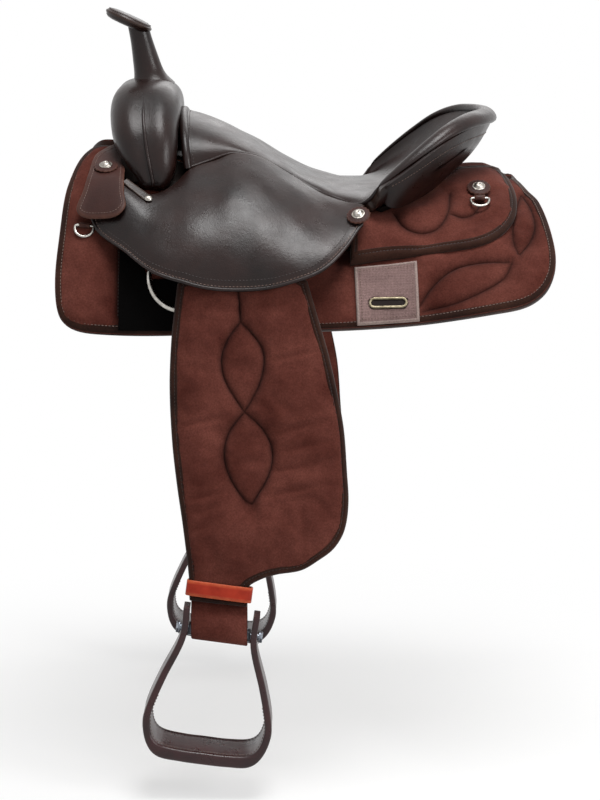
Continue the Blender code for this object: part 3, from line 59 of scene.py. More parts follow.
# %% Camera
CAMERA_PLACE = (-0.008, -3.4, 0.345)
CAMERA_PITCH = math.radians(80.01)
CAMERA_LENS = 111.7

camera_data = bpy.data.cameras.new("catalogue_camera")
camera_data.lens = CAMERA_LENS
camera_data.sensor_width = 36
camera = bpy.data.objects.new("catalogue_camera", camera_data)
camera.location = CAMERA_PLACE
camera.rotation_euler = (CAMERA_PITCH, 0, 0)
bpy.context.scene.collection.objects.link(camera)
bpy.context.scene.camera = camera
bpy.context.scene.view_settings.view_transform = "Standard"
print("camera", round(camera.location.length, 2), "m from the saddle, lens", CAMERA_LENS, "mm")

# %% [markdown]
# Every colour is written as the hex value that a paint program shows. Blender's shaders work in
# linear light, so one function turns the one into the other. A second small function adds a
# node with its settings and links, so each material below reads as a list of what was done.

# %% Colours and nodes
MM = 0.001


def linear(hex_colour):
    """The linear colour of an sRGB hex value such as '6b3a35'."""
    values = [int(hex_colour[k:k + 2], 16) / 255 for k in (0, 2, 4)]
    curved = [v / 12.92 if v <= 0.04045 else ((v + 0.055) / 1.055) ** 2.4 for v in values]
    return (*curved, 1.0)


def add(tree, kind, links=(), stops=(), **settings):
    """Add a node. Links are (socket, node, output or value); stops are (place, colour or level)."""
    node = tree.nodes.new(kind)
    for name, value in settings.items():
        if hasattr(node, name):
            setattr(node, name, value)
        else:
            node.inputs[name.replace("_", " ")].default_value = value
    for socket, value in links:
        value = value.outputs[0] if hasattr(value, "outputs") else value
        if hasattr(value, "is_linked"):
            tree.links.new(value, node.inputs[socket])
        else:
            node.inputs[socket].default_value = value
    for k, (place, what) in enumerate(stops):
        if k >= len(node.color_ramp.elements):
            node.color_ramp.elements.new(1.0)
        element = node.color_ramp.elements[k]
        element.position = place
        element.color = linear(what) if isinstance(what, str) else (what, what, what, 1.0)
    return node


def new_material(name, colour, roughness, metallic=0.0):
    """A material with its shader, and the object's own coordinates to draw patterns in."""
    made = bpy.data.materials.new(name)
    made.use_nodes = True
    tree = made.node_tree
    shader = tree.nodes["Principled BSDF"]
    shader.inputs["Base Color"].default_value = linear(colour)
    shader.inputs["Roughness"].default_value = roughness
    shader.inputs["Metallic"].default_value = metallic
    place = add(tree, "ShaderNodeTexCoord").outputs["Object"]
    return made, tree, shader, place


NOISE, RAMP, MIX, BUMP = ("ShaderNodeTexNoise", "ShaderNodeValToRGB", "ShaderNodeMix",
                          "ShaderNodeBump")
print("helpers ready; maroon in linear light:", [round(v, 3) for v in linear("6b3a35")])

# %% [markdown]
# Smooth harness leather is cowhide, drum dyed dark brown and waxed. The grain shows as fine
# pebbles about a millimetre across, the dye is cloudy, and the wax gives a broad soft shine.
# Where the hide bends or is rubbed, at its edges, the dye is paler; painted shade darkens its seams.

# %% Leather
def leather(name, deep, pale, worn, roughness, grain=1.3 * MM, relief=0.10 * MM, cloud=60 * MM,
            sheen=0.26):
    """Waxed cowhide: cloudy dye, pebbled grain, and paler worn edges."""
    made, tree, shader, place = new_material(name, deep, roughness)
    clouds = add(tree, NOISE, [("Vector", place)], Scale=1 / cloud, Detail=4, Roughness=0.55)
    body = add(tree, RAMP, [("Fac", clouds)], [(0.30, deep), (0.72, pale)])
    scuffs = add(tree, NOISE, [("Vector", place)], Scale=1 / (9 * MM), Detail=5, Roughness=0.65)
    patchy = add(tree, RAMP, [("Fac", scuffs)], [(0.3, 0.30), (0.7, 1.0)])
    rubbed = add(tree, "ShaderNodeAttribute", attribute_name="worn").outputs["Fac"]
    amount = add(tree, "ShaderNodeMath", [(0, rubbed), (1, patchy)], operation="MULTIPLY")
    dyed = add(tree, MIX, [(0, amount), (6, body), (7, linear(worn))], data_type="RGBA").outputs[2]
    # Painted shade: the seam attribute darkens the leather at seams, valleys and stitched rows.
    seam = add(tree, "ShaderNodeAttribute", attribute_name="seam").outputs["Fac"]
    shade = add(tree, RAMP, [("Fac", seam)], [(0.0, 1.0), (1.0, 0.30)])
    final = add(tree, MIX, [(0, 1.0), (6, dyed), (7, shade)], data_type="RGBA",
                blend_type="MULTIPLY").outputs[2]
    tree.links.new(final, shader.inputs["Base Color"])
    waxed = add(tree, NOISE, [("Vector", place)], Scale=1 / (24 * MM), Detail=4, Roughness=0.6)
    polish = add(tree, RAMP, [("Fac", waxed)], [(0.3, roughness - 0.06), (0.7, roughness + 0.08)])
    tree.links.new(polish.outputs[0], shader.inputs["Roughness"])
    pebbles = add(tree, "ShaderNodeTexVoronoi", [("Vector", place)], Scale=1 / grain,
                  feature="SMOOTH_F1", Smoothness=0.6)
    wrinkles = add(tree, NOISE, [("Vector", place)], Scale=1 / (5 * MM), Detail=6, Roughness=0.6)
    grained = add(tree, BUMP, [("Height", pebbles)], Distance=relief)
    creased = add(tree, BUMP, [("Height", wrinkles), ("Normal", grained)], Distance=2.2 * relief)
    tree.links.new(creased.outputs[0], shader.inputs["Normal"])
    shader.inputs["Specular IOR Level"].default_value = sheen
    return made


seat_leather = leather("waxed_drum_dyed_cowhide", "0f0605", "241310", "4c372c", 0.31,
                       sheen=0.30)
front_leather = leather("brown_oiled_strap_leather", "2a1613", "40241f", "5f3f33", 0.48, sheen=0.16)
stirrup_leather = leather("burgundy_wrapped_calf_leather", "1f0b0c", "371517", "5d352e", 0.30,
                          cloud=35 * MM, sheen=0.40)
hobble_leather = leather("orange_latigo_leather", "84200f", "a9331d", "c2603a", 0.42, cloud=25 * MM,
                         sheen=0.2)
keeper_leather = leather("grey_brown_keeper_leather", "1c1412", "302622", "55463e", 0.36,
                         cloud=20 * MM)
hidden_leather = leather("dark_skirting_leather", "120a09", "201412", "3a2a22", 0.55, sheen=0.12)
print("leathers:", seat_leather.name, front_leather.name, stirrup_leather.name)

# %% [markdown]
# Cordura is nylon pack cloth: thick air-textured yarn in a plain weave. The real threads are
# half a millimetre apart, too fine for the picture, so they are drawn at 1.1 mm. Air-textured
# yarn scatters light, so the cloth is matt with a faint sheen at grazing angles. The sewn
# channels are darkened with painted shade.

# %% Woven cloth
# channel: how dark the painted shade in the sewn channels gets.
def woven(name, deep, pale, thread, relief, roughness=0.88, sheen=0.04, cloud=70 * MM,
          channel=0.30):
    """A plain weave: two crossed sets of ribs in the surface, in cloudy dye."""
    made, tree, shader, place = new_material(name, deep, roughness)
    clouds = add(tree, NOISE, [("Vector", place)], Scale=1 / cloud, Detail=4, Roughness=0.6)
    body = add(tree, RAMP, [("Fac", clouds)], [(0.30, deep), (0.70, pale)])
    fuzz = add(tree, NOISE, [("Vector", place)], Scale=1 / (2.2 * MM), Detail=4, Roughness=0.7)
    speck = add(tree, RAMP, [("Fac", fuzz)], [(0.30, 0.55), (0.70, 1.0)])
    ribs = [add(tree, "ShaderNodeTexWave", [("Vector", place)], wave_type="BANDS",
                bands_direction=axis, wave_profile="SIN", Scale=1 / thread / 3.18, Distortion=0.35,
                Detail=1) for axis in ("X", "Z")]
    weave = add(tree, "ShaderNodeMath", [(0, ribs[0]), (1, ribs[1])], operation="MAXIMUM")
    shade = add(tree, RAMP, [("Fac", weave)], [(0.0, 0.74), (1.0, 1.0)])
    # Painted shade: the seam attribute darkens the cloth in and beside its sewn channels.
    seam = add(tree, "ShaderNodeAttribute", attribute_name="seam").outputs["Fac"]
    painted_seam_shade = add(tree, RAMP, [("Fac", seam)], [(0.0, 1.0), (1.0, channel)])
    colour = body.outputs[0]
    for layer in (speck, shade, painted_seam_shade):
        colour = add(tree, MIX, [(0, 1.0), (6, colour), (7, layer)], data_type="RGBA",
                     blend_type="MULTIPLY").outputs[2]
    tree.links.new(colour, shader.inputs["Base Color"])
    threads = add(tree, BUMP, [("Height", weave)], Distance=relief)
    hairs = add(tree, BUMP, [("Height", fuzz), ("Normal", threads)], Distance=relief)
    tree.links.new(hairs.outputs[0], shader.inputs["Normal"])
    shader.inputs["Sheen Weight"].default_value = sheen
    shader.inputs["Sheen Roughness"].default_value = 0.5
    shader.inputs["Specular IOR Level"].default_value = 0.05
    return made


cordura = woven("maroon_nylon_cordura", "52271f", "7a453b", 1.1 * MM, 0.20 * MM)
binding_tape = woven("dark_nylon_binding_tape", "21100b", "452a20", 1.0 * MM, 0.10 * MM,
                     roughness=0.62, sheen=0.1)
webbing = woven("mauve_nylon_webbing", "745e5c", "9c807c", 1.9 * MM, 0.30 * MM, roughness=0.7)
webbing_edge = woven("pale_webbing_selvedge", "98827c", "b09e97", 1.2 * MM, 0.15 * MM)
neoprene = woven("black_knit_faced_neoprene", "040303", "090707", 1.6 * MM, 0.10 * MM,
                 roughness=0.9, sheen=0.0)
print("cloths:", cordura.name, binding_tape.name, webbing.name)

# %% [markdown]
# The underside is real or synthetic sheepskin: a dense pile whose tips clump into small curls.
# The thread is bonded nylon, a little paler than the cloth, so each stitch catches the light.
# The wooden tree is covered with dark fibreglass cloth set in resin, which stays satin.

# %% Fleece, thread, tree
fleece_wool, tree, shader, place = new_material("clipped_sheepskin", "b5a283", 0.95)
curls = add(tree, "ShaderNodeTexVoronoi", [("Vector", place)], Scale=1 / (7 * MM),
            feature="SMOOTH_F1", Smoothness=0.8)
wisps = add(tree, NOISE, [("Vector", place)], Scale=1 / (2.5 * MM), Detail=6, Roughness=0.75)
curl_colour = add(tree, RAMP, [("Fac", curls)], [(0.1, "dccfb4"), (0.8, "9d8964")])
wisp_colour = add(tree, RAMP, [("Fac", wisps)], [(0.3, "a8946f"), (0.7, "e6dcc6")])
wool = add(tree, MIX, [(0, 0.6), (6, curl_colour), (7, wisp_colour)], data_type="RGBA").outputs[2]
tree.links.new(wool, shader.inputs["Base Color"])
locks = add(tree, BUMP, [("Height", curls)], Distance=2.5 * MM)
fluff = add(tree, BUMP, [("Height", wisps), ("Normal", locks)], Distance=1.2 * MM)
tree.links.new(fluff.outputs[0], shader.inputs["Normal"])
shader.inputs["Sheen Weight"].default_value = 0.4


def thread_material(name, colour, pale):
    """Bonded thread: a twist of fine filaments with a slight gloss."""
    made, tree, shader, place = new_material(name, colour, 0.5)
    twist = add(tree, NOISE, [("Vector", place)], Scale=1 / (1.2 * MM), Detail=2)
    tone = add(tree, RAMP, [("Fac", twist)], [(0.3, colour), (0.7, pale)])
    tree.links.new(tone.outputs[0], shader.inputs["Base Color"])
    wound = add(tree, BUMP, [("Height", twist)], Distance=0.1 * MM)
    tree.links.new(wound.outputs[0], shader.inputs["Normal"])
    return made


brown_thread = thread_material("brown_bonded_thread", "4a352e", "7a6156")
dark_thread = thread_material("dark_bonded_thread", "140b0a", "2c1c18")

tree_cover, tree, shader, place = new_material("resin_set_fibreglass_cover", "1a1210", 0.5)
resin = add(tree, NOISE, [("Vector", place)], Scale=1 / (14 * MM), Detail=5, Roughness=0.65)
tone = add(tree, RAMP, [("Fac", resin)], [(0.3, "0a0605"), (0.7, "17100d")])
tree.links.new(tone.outputs[0], shader.inputs["Base Color"])
lumps = add(tree, BUMP, [("Height", resin)], Distance=0.5 * MM)
shader.inputs["Specular IOR Level"].default_value = 0.08
tree.links.new(lumps.outputs[0], shader.inputs["Normal"])
print("pile, threads and tree:", fleece_wool.name, brown_thread.name, tree_cover.name)

# %% [markdown]
# The fittings are nickel-plated steel, polished and then handled, so the shine has fine smears.
# The slot's plate is brass that has dulled, with a warmer colour in its hollows.

# %% Metals
def polished(name, colour, shade, roughness):
    """Plated or cast metal with smeared polish and a few rubbed marks."""
    made, tree, shader, place = new_material(name, colour, roughness, metallic=1.0)
    smears = add(tree, NOISE, [("Vector", place)], Scale=1 / (6 * MM), Detail=5, Roughness=0.65)
    tone = add(tree, RAMP, [("Fac", smears)], [(0.3, shade), (0.7, colour)])
    gloss = add(tree, RAMP, [("Fac", smears)], [(0.3, roughness + 0.14), (0.7, roughness - 0.05)])
    pits = add(tree, NOISE, [("Vector", place)], Scale=1 / (1.5 * MM), Detail=3, Roughness=0.6)
    marks = add(tree, BUMP, [("Height", pits)], Distance=0.03 * MM)
    for made_node, socket in ((tone, "Base Color"), (gloss, "Roughness"), (marks, "Normal")):
        tree.links.new(made_node.outputs[0], shader.inputs[socket])
    return made


nickel = polished("nickel_plated_steel", "c9c6c0", "96928b", 0.22)
antique_silver = polished("antiqued_silver_plate", "cfcac2", "6f6862", 0.28)
zinc_steel = polished("zinc_plated_steel", "9aa0a8", "6a6f77", 0.32)
dull_brass = polished("dull_cast_brass", "9b917a", "5f5644", 0.34)
print("metals:", nickel.name, antique_silver.name, zinc_steel.name, dull_brass.name)

# %% [markdown]
# A saddle is formed over a horse's back, so most of its panels are cut flat and bent over one
# surface. The same surface carries the CAD parts. A place on it is a station x along the horse,
# a distance s down from the spine, and a height d off it. Whole arrays go through at once.

# %% The back surface
RIDGE_HEIGHT = ((-0.34, 0.104), (-0.25, 0.090), (-0.17, 0.060), (-0.08, 0.018),
                (0.0, 0.0), (0.10, 0.010), (0.20, 0.033), (0.34, 0.045))
HALF_WIDTH = ((-0.34, 0.213), (0.0, 0.225), (0.34, 0.252))
HEM_LEVEL = -0.127
HEM_ANGLE = math.radians(75)
GIRTH_RADIUS = 0.206
STEP = 0.0005


def smooth(table, x):
    """Read a table of (station, value) along a smooth curve; its ends hold their value."""
    stations, values = (np.array(c, float) for c in zip(*table))
    last = len(stations) - 1
    x = np.clip(np.asarray(x, float), stations[0], stations[-1])
    after = np.minimum(np.arange(last + 1) + 1, last)
    before = np.maximum(np.arange(last + 1) - 1, 0)
    slope = (values[after] - values[before]) / (stations[after] - stations[before])
    i = np.clip(np.searchsorted(stations, x, side="right") - 1, 0, last - 1)
    width = stations[i + 1] - stations[i]
    t = (x - stations[i]) / width
    return (values[i] * (1 + 2 * t) * (1 - t) ** 2 + values[i + 1] * t * t * (3 - 2 * t)
            + width * slope[i] * t * (1 - t) ** 2 - width * slope[i + 1] * t * t * (1 - t))


def raised(section, x, s, d):
    """Points off a surface that is given as cross-sections (y, z) of station and distance."""
    x, s, d = np.broadcast_arrays(np.asarray(x, float), s, d)
    y, z = section(x, s)
    y_next, z_next = section(x, s + STEP)
    run = np.hypot(y_next - y, z_next - z)
    return np.stack((x, y - (z_next - z) / run * d, z + (y_next - y) / run * d), -1)


def back_section(x, s):
    ridge = smooth(RIDGE_HEIGHT, x)
    drop = (ridge - HEM_LEVEL) / (1 - math.cos(HEM_ANGLE))
    angle = s / GIRTH_RADIUS
    return smooth(HALF_WIDTH, x) * np.sin(angle), ridge - drop * (1 - np.cos(angle))


def back(x, s, d):
    return raised(back_section, x, s, d - 0.0004)


def side(surface, d, points):
    """Pattern points whose places in the side view are the given (x, z[, corner])."""
    x = np.array([p[0] for p in points])
    z = np.array([p[1] for p in points])
    low, high = np.zeros(len(x)), np.full(len(x), 0.34)
    for _ in range(30):
        middle = 0.5 * (low + high)
        above = surface(x, middle, d)[..., 2] > z
        low, high = np.where(above, middle, low), np.where(above, high, middle)
    return [(a, b, *p[2:]) for a, b, p in zip(x, 0.5 * (low + high), points)]


print("the back is", round(float(back(0.0, 0.27, 0.0)[1]) * 2000), "mm wide at its hem")

# %% [markdown]
# A sewing pattern is a line of a few points. Between them the line is smooth, except at the
# points marked as corners. Two more helpers measure from the cloth's edge and from its seams,
# because padding swells with the distance from what holds it down.

# %% Pattern lines
def drawn(points, pitch, closed=True):
    """An evenly spaced line through pattern points. A third value marks a sharp corner."""
    flat = np.array([p[:2] for p in points], float)
    count = len(flat)
    spans = count if closed else count - 1
    line = []
    for i in range(spans):
        here, there = flat[i], flat[(i + 1) % count]
        span = there - here
        length = np.hypot(*span)
        slopes = []
        for k in (i, (i + 1) % count):
            sharp = len(points[k]) > 2 or (not closed and k in (0, count - 1))
            ahead, behind = flat[(k + 1) % count] - flat[k], flat[k] - flat[k - 1]
            both = np.hypot(*ahead) + np.hypot(*behind)
            slopes.append(span / length if sharp else (ahead + behind) / both)
        steps = max(1, round(length / pitch))
        for t in np.arange(steps) / steps:
            line.append(here * (1 + 2 * t) * (1 - t) ** 2 + there * t * t * (3 - 2 * t)
                        + length * (slopes[0] * t * (1 - t) ** 2 - slopes[1] * t * t * (1 - t)))
    if not closed:
        line.append(flat[-1])
    return np.array(line)


def line_normals(line, closed=True):
    """Unit vectors square to a pattern line: inward where the line runs anticlockwise."""
    if closed:
        along = np.roll(line, -1, 0) - np.roll(line, 1, 0)
    else:
        along = np.gradient(line, axis=0)
    along /= np.maximum(np.hypot(along[:, 0], along[:, 1]), 1e-9)[:, None]
    return np.stack((-along[:, 1], along[:, 0]), -1)


def anticlockwise(line):
    """The closed line, turned round if it runs clockwise."""
    following = np.roll(line, -1, 0)
    area = np.sum(line[:, 0] * following[:, 1] - following[:, 0] * line[:, 1])
    return line if area > 0 else line[::-1]


def distance(points, line, closed=True):
    """How far each point is from a line."""
    points = np.atleast_2d(points)
    start = line if closed else line[:-1]
    run = (np.roll(line, -1, 0) if closed else line[1:]) - start
    square = np.maximum(np.sum(run * run, 1), 1e-12)
    nearest = np.full(len(points), 9.0)
    for k in range(0, len(points), 2000):
        part = points[k:k + 2000, None, :] - start[None]
        t = np.clip(np.sum(part * run[None], 2) / square, 0, 1)
        gap = part - t[..., None] * run[None]
        nearest[k:k + 2000] = np.sqrt(np.min(np.sum(gap * gap, 2), 1))
    return nearest


def inside(points, line):
    """Whether each point is inside a closed line."""
    x, y = points[:, 0], points[:, 1]
    odd = np.zeros(len(points), bool)
    for (x0, y0), (x1, y1) in zip(line, np.roll(line, -1, 0)):
        if y0 != y1:
            crossing = (y0 > y) != (y1 > y)
            odd ^= crossing & (x < (x1 - x0) * (y - y0) / (y1 - y0) + x0)
    return odd


square = ((0.0, 0.0, 1), (0.1, 0.0, 1), (0.1, 0.1, 1), (0.0, 0.1, 1))
print("a 100 mm square, drawn every 5 mm, has", len(drawn(square, 5 * MM)), "points")

# %% [markdown]
# The cloth's mesh is a triangle net that follows its edge and every sewn line, so that the
# creases stay crisp. Blender can triangulate such a net with the lines as constraints.

# %% Nets and solids
def net(outline, seams, pitch, rings):
    """Pattern points and triangles inside an outline, with rows laid along edge and seams."""
    rows = [outline]
    edges = [(k, (k + 1) % len(outline)) for k in range(len(outline))]
    count = len(outline)
    for seam in seams:
        edges += [(count + k, count + k + 1) for k in range(len(seam) - 1)]
        rows.append(seam)
        count += len(seam)

    def clear(points, edge_gap, seam_gap):
        keep = inside(points, outline) & (distance(points, outline) > edge_gap)
        for seam in seams:
            keep &= distance(points, seam, False) > seam_gap
        return points[keep]
    inward = line_normals(outline)
    for ring in rings:
        rows.append(clear(outline + inward * ring, 0.93 * ring, 0.001))
    for seam in seams:
        across = line_normals(seam, False)
        for ring in rings:
            for sign in (1, -1):
                rows.append(clear(seam + across * ring * sign, 0.001, 0.93 * ring))
    low, high = outline.min(0), outline.max(0)
    xs, ys = (np.arange(low[k] + 0.37 * pitch, high[k], pitch * (1, 0.87)[k]) for k in (0, 1))
    grid = np.array([(x + 0.5 * pitch * (j % 2), y) for j, y in enumerate(ys) for x in xs])
    rows.append(clear(grid, rings[-1] + 0.4 * pitch, rings[-1] + 0.4 * pitch))
    points = [Vector(p) for row in rows for p in row]
    flat, _, faces, *_ = geometry.delaunay_2d_cdt(points, edges, [], 1, 1e-7)
    return np.array([tuple(p) for p in flat]), [tuple(f) for f in faces]


def object_from(name, points, faces, material, worn=None, seam=None, sharp=50):
    """A mesh with outward normals, its wear and painted seam shade kept as point attributes."""
    mesh = bpy.data.meshes.new(name)
    mesh.from_pydata([tuple(p) for p in points], [], faces)
    for label, values in (("worn", worn), ("seam", seam)):
        if values is not None:
            mesh.attributes.new(label, "FLOAT", "POINT").data.foreach_set(
                "value", np.asarray(values, np.float32))
    form = bmesh.new()
    form.from_mesh(mesh)
    bmesh.ops.recalc_face_normals(form, faces=form.faces)
    form.to_mesh(mesh)
    form.free()
    mesh.shade_smooth()
    mesh.set_sharp_from_angle(angle=math.radians(sharp))
    mesh.materials.append(material)
    made = bpy.data.objects.new(name, mesh)
    bpy.context.scene.collection.objects.link(made)
    return made


def shell(name, top, bottom, faces, material, **attributes):
    """A closed solid from two matching nets and a wall round their edge."""
    count = len(top)
    used = dict.fromkeys((a, b) for face in faces for a, b in zip(face, face[1:] + face[:1]))
    rim = [(a, b) for a, b in used if (b, a) not in used]
    walls = [(a, a + count, b + count, b) for a, b in rim]
    under = [tuple(count + k for k in reversed(face)) for face in faces]
    both = {k: np.concatenate((v, v)) for k, v in attributes.items()}
    return object_from(name, np.concatenate((top, bottom)), list(faces) + under + walls, material,
                       **both)


def unit(vectors):
    """The same directions, one long."""
    return vectors / np.maximum(np.linalg.norm(vectors, axis=-1), 1e-9)[..., None]


def placed(points, place):
    """Points moved by a matrix."""
    return np.asarray(points) @ np.array(place.to_3x3()).T + np.array(place.translation)


def grid_faces(columns, rows, closed=False, looped=False):
    """Faces of a grid of points; closed joins each row's ends, looped the first and last row."""
    faces = []
    for j in range(rows if looped else rows - 1):
        here, below = j * columns, (j + 1) % rows * columns
        for k in range(columns if closed else columns - 1):
            after = (k + 1) % columns
            faces.append((here + k, here + after, below + after, below + k))
    return faces


def rod_faces(columns, rows):
    """Faces of a rod: rings of points joined, and its two ends filled."""
    ends = [tuple(range(columns)), tuple(range((rows - 1) * columns, rows * columns))]
    return grid_faces(columns, rows, closed=True) + ends


def mirrored(thing, name):
    """The same piece on the horse's left side."""
    mesh = thing.data.copy()
    mesh.transform(Matrix.Scale(-1, 4, (0, 1, 0)))
    mesh.flip_normals()
    made = bpy.data.objects.new(name, mesh)
    bpy.context.scene.collection.objects.link(made)
    return made


def single(thing, nodes=(), body="root"):
    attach(thing, body)
    if nodes:
        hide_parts(*nodes)
    return thing


def pair(thing):
    """Name a right-hand piece and make its left-hand mate."""
    left = mirrored(thing, thing.name + "_left")
    thing.name += "_right"
    return (("right", thing), ("left", left))


def both_sides(thing, body="root", nodes=()):
    """A right-hand piece and its mate, each hung on its own side's body."""
    for which, piece in pair(thing):
        single(piece, [f"{node}_{which}" for node in nodes],
               body if body == "root" else f"{which}_{body}")


print("a rod of 8 sides and 3 rings has", len(rod_faces(8, 3)), "faces")

# %% [markdown]
# Quilting puckers, because the padding pushes the cloth out while the thread holds it down, and
# because the cloth is cut with a little fullness. Carved dips alone look moulded. So the upper
# cloth of each quilted piece is pinned along its seams and its edge, grown by a few per cent and
# blown out from inside in Blender's cloth simulation. A step that moves a point further than the
# padding allows is cut short, the folds are softened once, and the result is kept as plain mesh.

# %% Cloth
CLOTH_FRAMES = 20


def blown(points, faces, held, outward, pressure, fullness, limit):
    """Simulate cloth with pinned points; move each point by what the cloth did, up to a limit."""
    sheet = object_from("cloth_in_work", points, faces, cordura)
    side_out = sum(np.dot(face.normal, outward[face.vertices[0]]) for face in sheet.data.polygons)
    pins = sheet.vertex_groups.new(name="sewn")
    for k, grip in enumerate(held):
        pins.add([k], float(grip), "REPLACE")
    cloth = sheet.modifiers.new("cloth", "CLOTH")
    settings = dict(quality=6, mass=0.25, tension_stiffness=20, compression_stiffness=6,
                    shear_stiffness=4, bending_stiffness=0.6, vertex_group_mass=pins.name,
                    shrink_min=-fullness, use_pressure=True,
                    uniform_pressure_force=math.copysign(pressure, side_out))
    for name, value in settings.items():
        setattr(cloth.settings, name, value)
    cloth.settings.effector_weights.gravity = 0
    cloth.collision_settings.use_collision = False
    cloth.point_cache.frame_end = CLOTH_FRAMES
    scene = bpy.context.scene
    for number in range(1, CLOTH_FRAMES + 1):
        scene.frame_set(number)
    settled = sheet.evaluated_get(bpy.context.evaluated_depsgraph_get()).data
    after = np.empty(len(points) * 3, np.float32)
    settled.vertices.foreach_get("co", after)
    moved = after.reshape(-1, 3) - points
    length = np.linalg.norm(moved, axis=1)
    share = np.minimum(1, limit / np.maximum(length, 1e-9))
    moved *= share[:, None]
    edges = np.array([edge.vertices[:] for edge in sheet.data.edges])
    nearby = np.bincount(edges.ravel(), minlength=len(points))[:, None]
    loose = (1 - np.asarray(held, float))[:, None]
    for _ in range(3):
        total = np.zeros_like(moved)
        np.add.at(total, edges[:, 0], moved[edges[:, 1]])
        np.add.at(total, edges[:, 1], moved[edges[:, 0]])
        moved += 0.5 * loose * (total / nearby - moved)
    scene.frame_set(1)
    bpy.data.objects.remove(sheet)
    print("cloth moved up to", round(float(length.max()) * 1000, 1), "mm, kept up to",
          round(float(np.linalg.norm(moved, axis=1).max()) * 1000, 1), "mm")
    return points + moved

# %% [markdown]
# A panel has a lower and an upper face. The upper one dips at sewn channels, as padding does
# under a row of stitches: steep at the thread and easing out over a few millimetres. A quilted
# panel then gets its puckers from the cloth simulation.

# %% Panels
def make_panel(name, surface, points, inner, outer, material, seams=(), pitch=5 * MM, dip=2.6 * MM,
               ease=4.5 * MM, edge_dip=0.0, edge_ease=6 * MM, round_edge=False, ripple=None,
               wear=0.0, puff=None, covers=()):
    """Cut a panel from a pattern, form it over a surface and sink its seams.

    Returns the object, its outline on the pattern, and its upper face as a function.
    """
    outline = anticlockwise(drawn(points, 0.7 * pitch))
    lines = [drawn(seam, 3 * MM, closed=False) for seam in seams]
    rim_height = np.mean(outer(outline[:, 0], outline[:, 1])) if callable(outer) else outer
    middle_height, radius = 0.5 * (rim_height + inner), 0.5 * (rim_height - inner)
    rings = (0.2 * radius, 0.55 * radius, 1.0 * radius, 1.9 * radius) if round_edge else (
        1.5 * MM, 4 * MM, 7.5 * MM)

    def upper(x, s, parts=False):
        flat = np.stack((np.ravel(x), np.ravel(s)), -1)
        edge = distance(flat, outline)
        channel = np.full(len(flat), 9.0)
        for line in lines:
            channel = np.minimum(channel, distance(flat, line, False))
        high = outer(flat[:, 0], flat[:, 1]) if callable(outer) else np.full(len(flat), outer)
        high = high - dip * np.exp(-channel / ease) - edge_dip * np.exp(-edge / edge_ease)
        if ripple:
            high = high + ripple(flat[:, 0], flat[:, 1]) * np.clip(edge / (12 * MM), 0, 1)
        if round_edge:
            bow = np.sqrt(1 - (1 - np.clip(edge / radius, 0, 1)) ** 2)
            high = middle_height + (high - middle_height) * bow
        return (high, edge, channel) if parts else high
    flat, faces = net(outline, lines, pitch, rings)
    high, edge, channel = upper(flat[:, 0], flat[:, 1], parts=True)
    low = np.full(len(flat), inner)
    if round_edge:
        low = middle_height - (middle_height - inner) * np.sqrt(
            1 - (1 - np.clip(edge / radius, 0, 1)) ** 2)
        low[edge < 1e-6] -= 0.02 * MM
    top = surface(flat[:, 0], flat[:, 1], high)
    bottom = surface(flat[:, 0], flat[:, 1], low)
    if puff:
        pressure, fullness, limit = puff
        held = np.minimum(edge - 6 * MM, channel - 0.5 * MM) <= 0
        for cover in covers:
            held |= inside(flat, anticlockwise(drawn(cover, 6 * MM)))
        top = blown(top, faces, held, top - bottom, pressure, fullness, limit)
    # The seam attribute is painted shade that darkens the sewn channels.
    made = shell(name, top, bottom, faces, material, worn=wear * np.exp(-edge / (2.5 * MM)),
                 seam=np.exp(-channel / (3.6 * MM)))
    return made, outline, upper


def make_binding(name, surface, line, upper, inner, material, width=9 * MM, thick=1.1 * MM,
                 ridges=1):
    """Tape folded round a panel's edge: a low ridge on the face, and a wall down the rim."""
    inward = line_normals(line)
    if ridges == 2:
        section = ((1.0, 0.0), (0.90, 1.0), (0.70, 1.1), (0.58, 0.25), (0.46, 1.1), (0.15, 1.15))
    else:
        section = ((1.0, 0.0), (0.90, 0.9), (0.60, 1.1), (0.15, 1.15))
    rings = []
    for share, rise in section:
        flat = line + inward * share * width
        rings.append(surface(flat[:, 0], flat[:, 1], upper(flat[:, 0], flat[:, 1]) + rise * thick))
    rim = upper(line[:, 0], line[:, 1])
    for out, share in ((0.7, 0.85), (1.0, 0.5), (0.7, 0.12), (-0.6, 0.03)):
        flat = line - inward * out * thick
        rings.append(surface(flat[:, 0], flat[:, 1], inner + (rim - inner) * share))
    points = np.stack(rings, 1).reshape(-1, 3)
    faces = grid_faces(len(rings), len(line), closed=True, looped=True)
    return object_from(name, points, faces, material, sharp=60)


def make_tube(name, points, radius, material, sides=8, closed=False, flatten=1.0, up=None):
    """A round or oval rod along a line of points; `up` holds the oval's short axis."""
    points = np.asarray(points, float)
    if closed:
        along = np.roll(points, -1, 0) - np.roll(points, 1, 0)
    else:
        along = np.gradient(points, axis=0)
    along = unit(along)
    reference = np.array(up if up is not None else (0.0, 0.0, 1.0), float)
    across = unit(np.cross(along, np.broadcast_to(reference, along.shape)))
    lift = np.cross(across, along)
    radius = np.broadcast_to(radius, (len(points),))[:, None, None]
    turn = np.arange(sides) * 2 * math.pi / sides
    rings = points[:, None] + radius * (across[:, None] * np.cos(turn)[None, :, None]
                                        + lift[:, None] * np.sin(turn)[None, :, None] * flatten)
    if closed:
        faces = grid_faces(sides, len(points), closed=True, looped=True)
    else:
        faces = rod_faces(sides, len(points))
    return object_from(name, rings.reshape(-1, 3), faces, material, sharp=70)


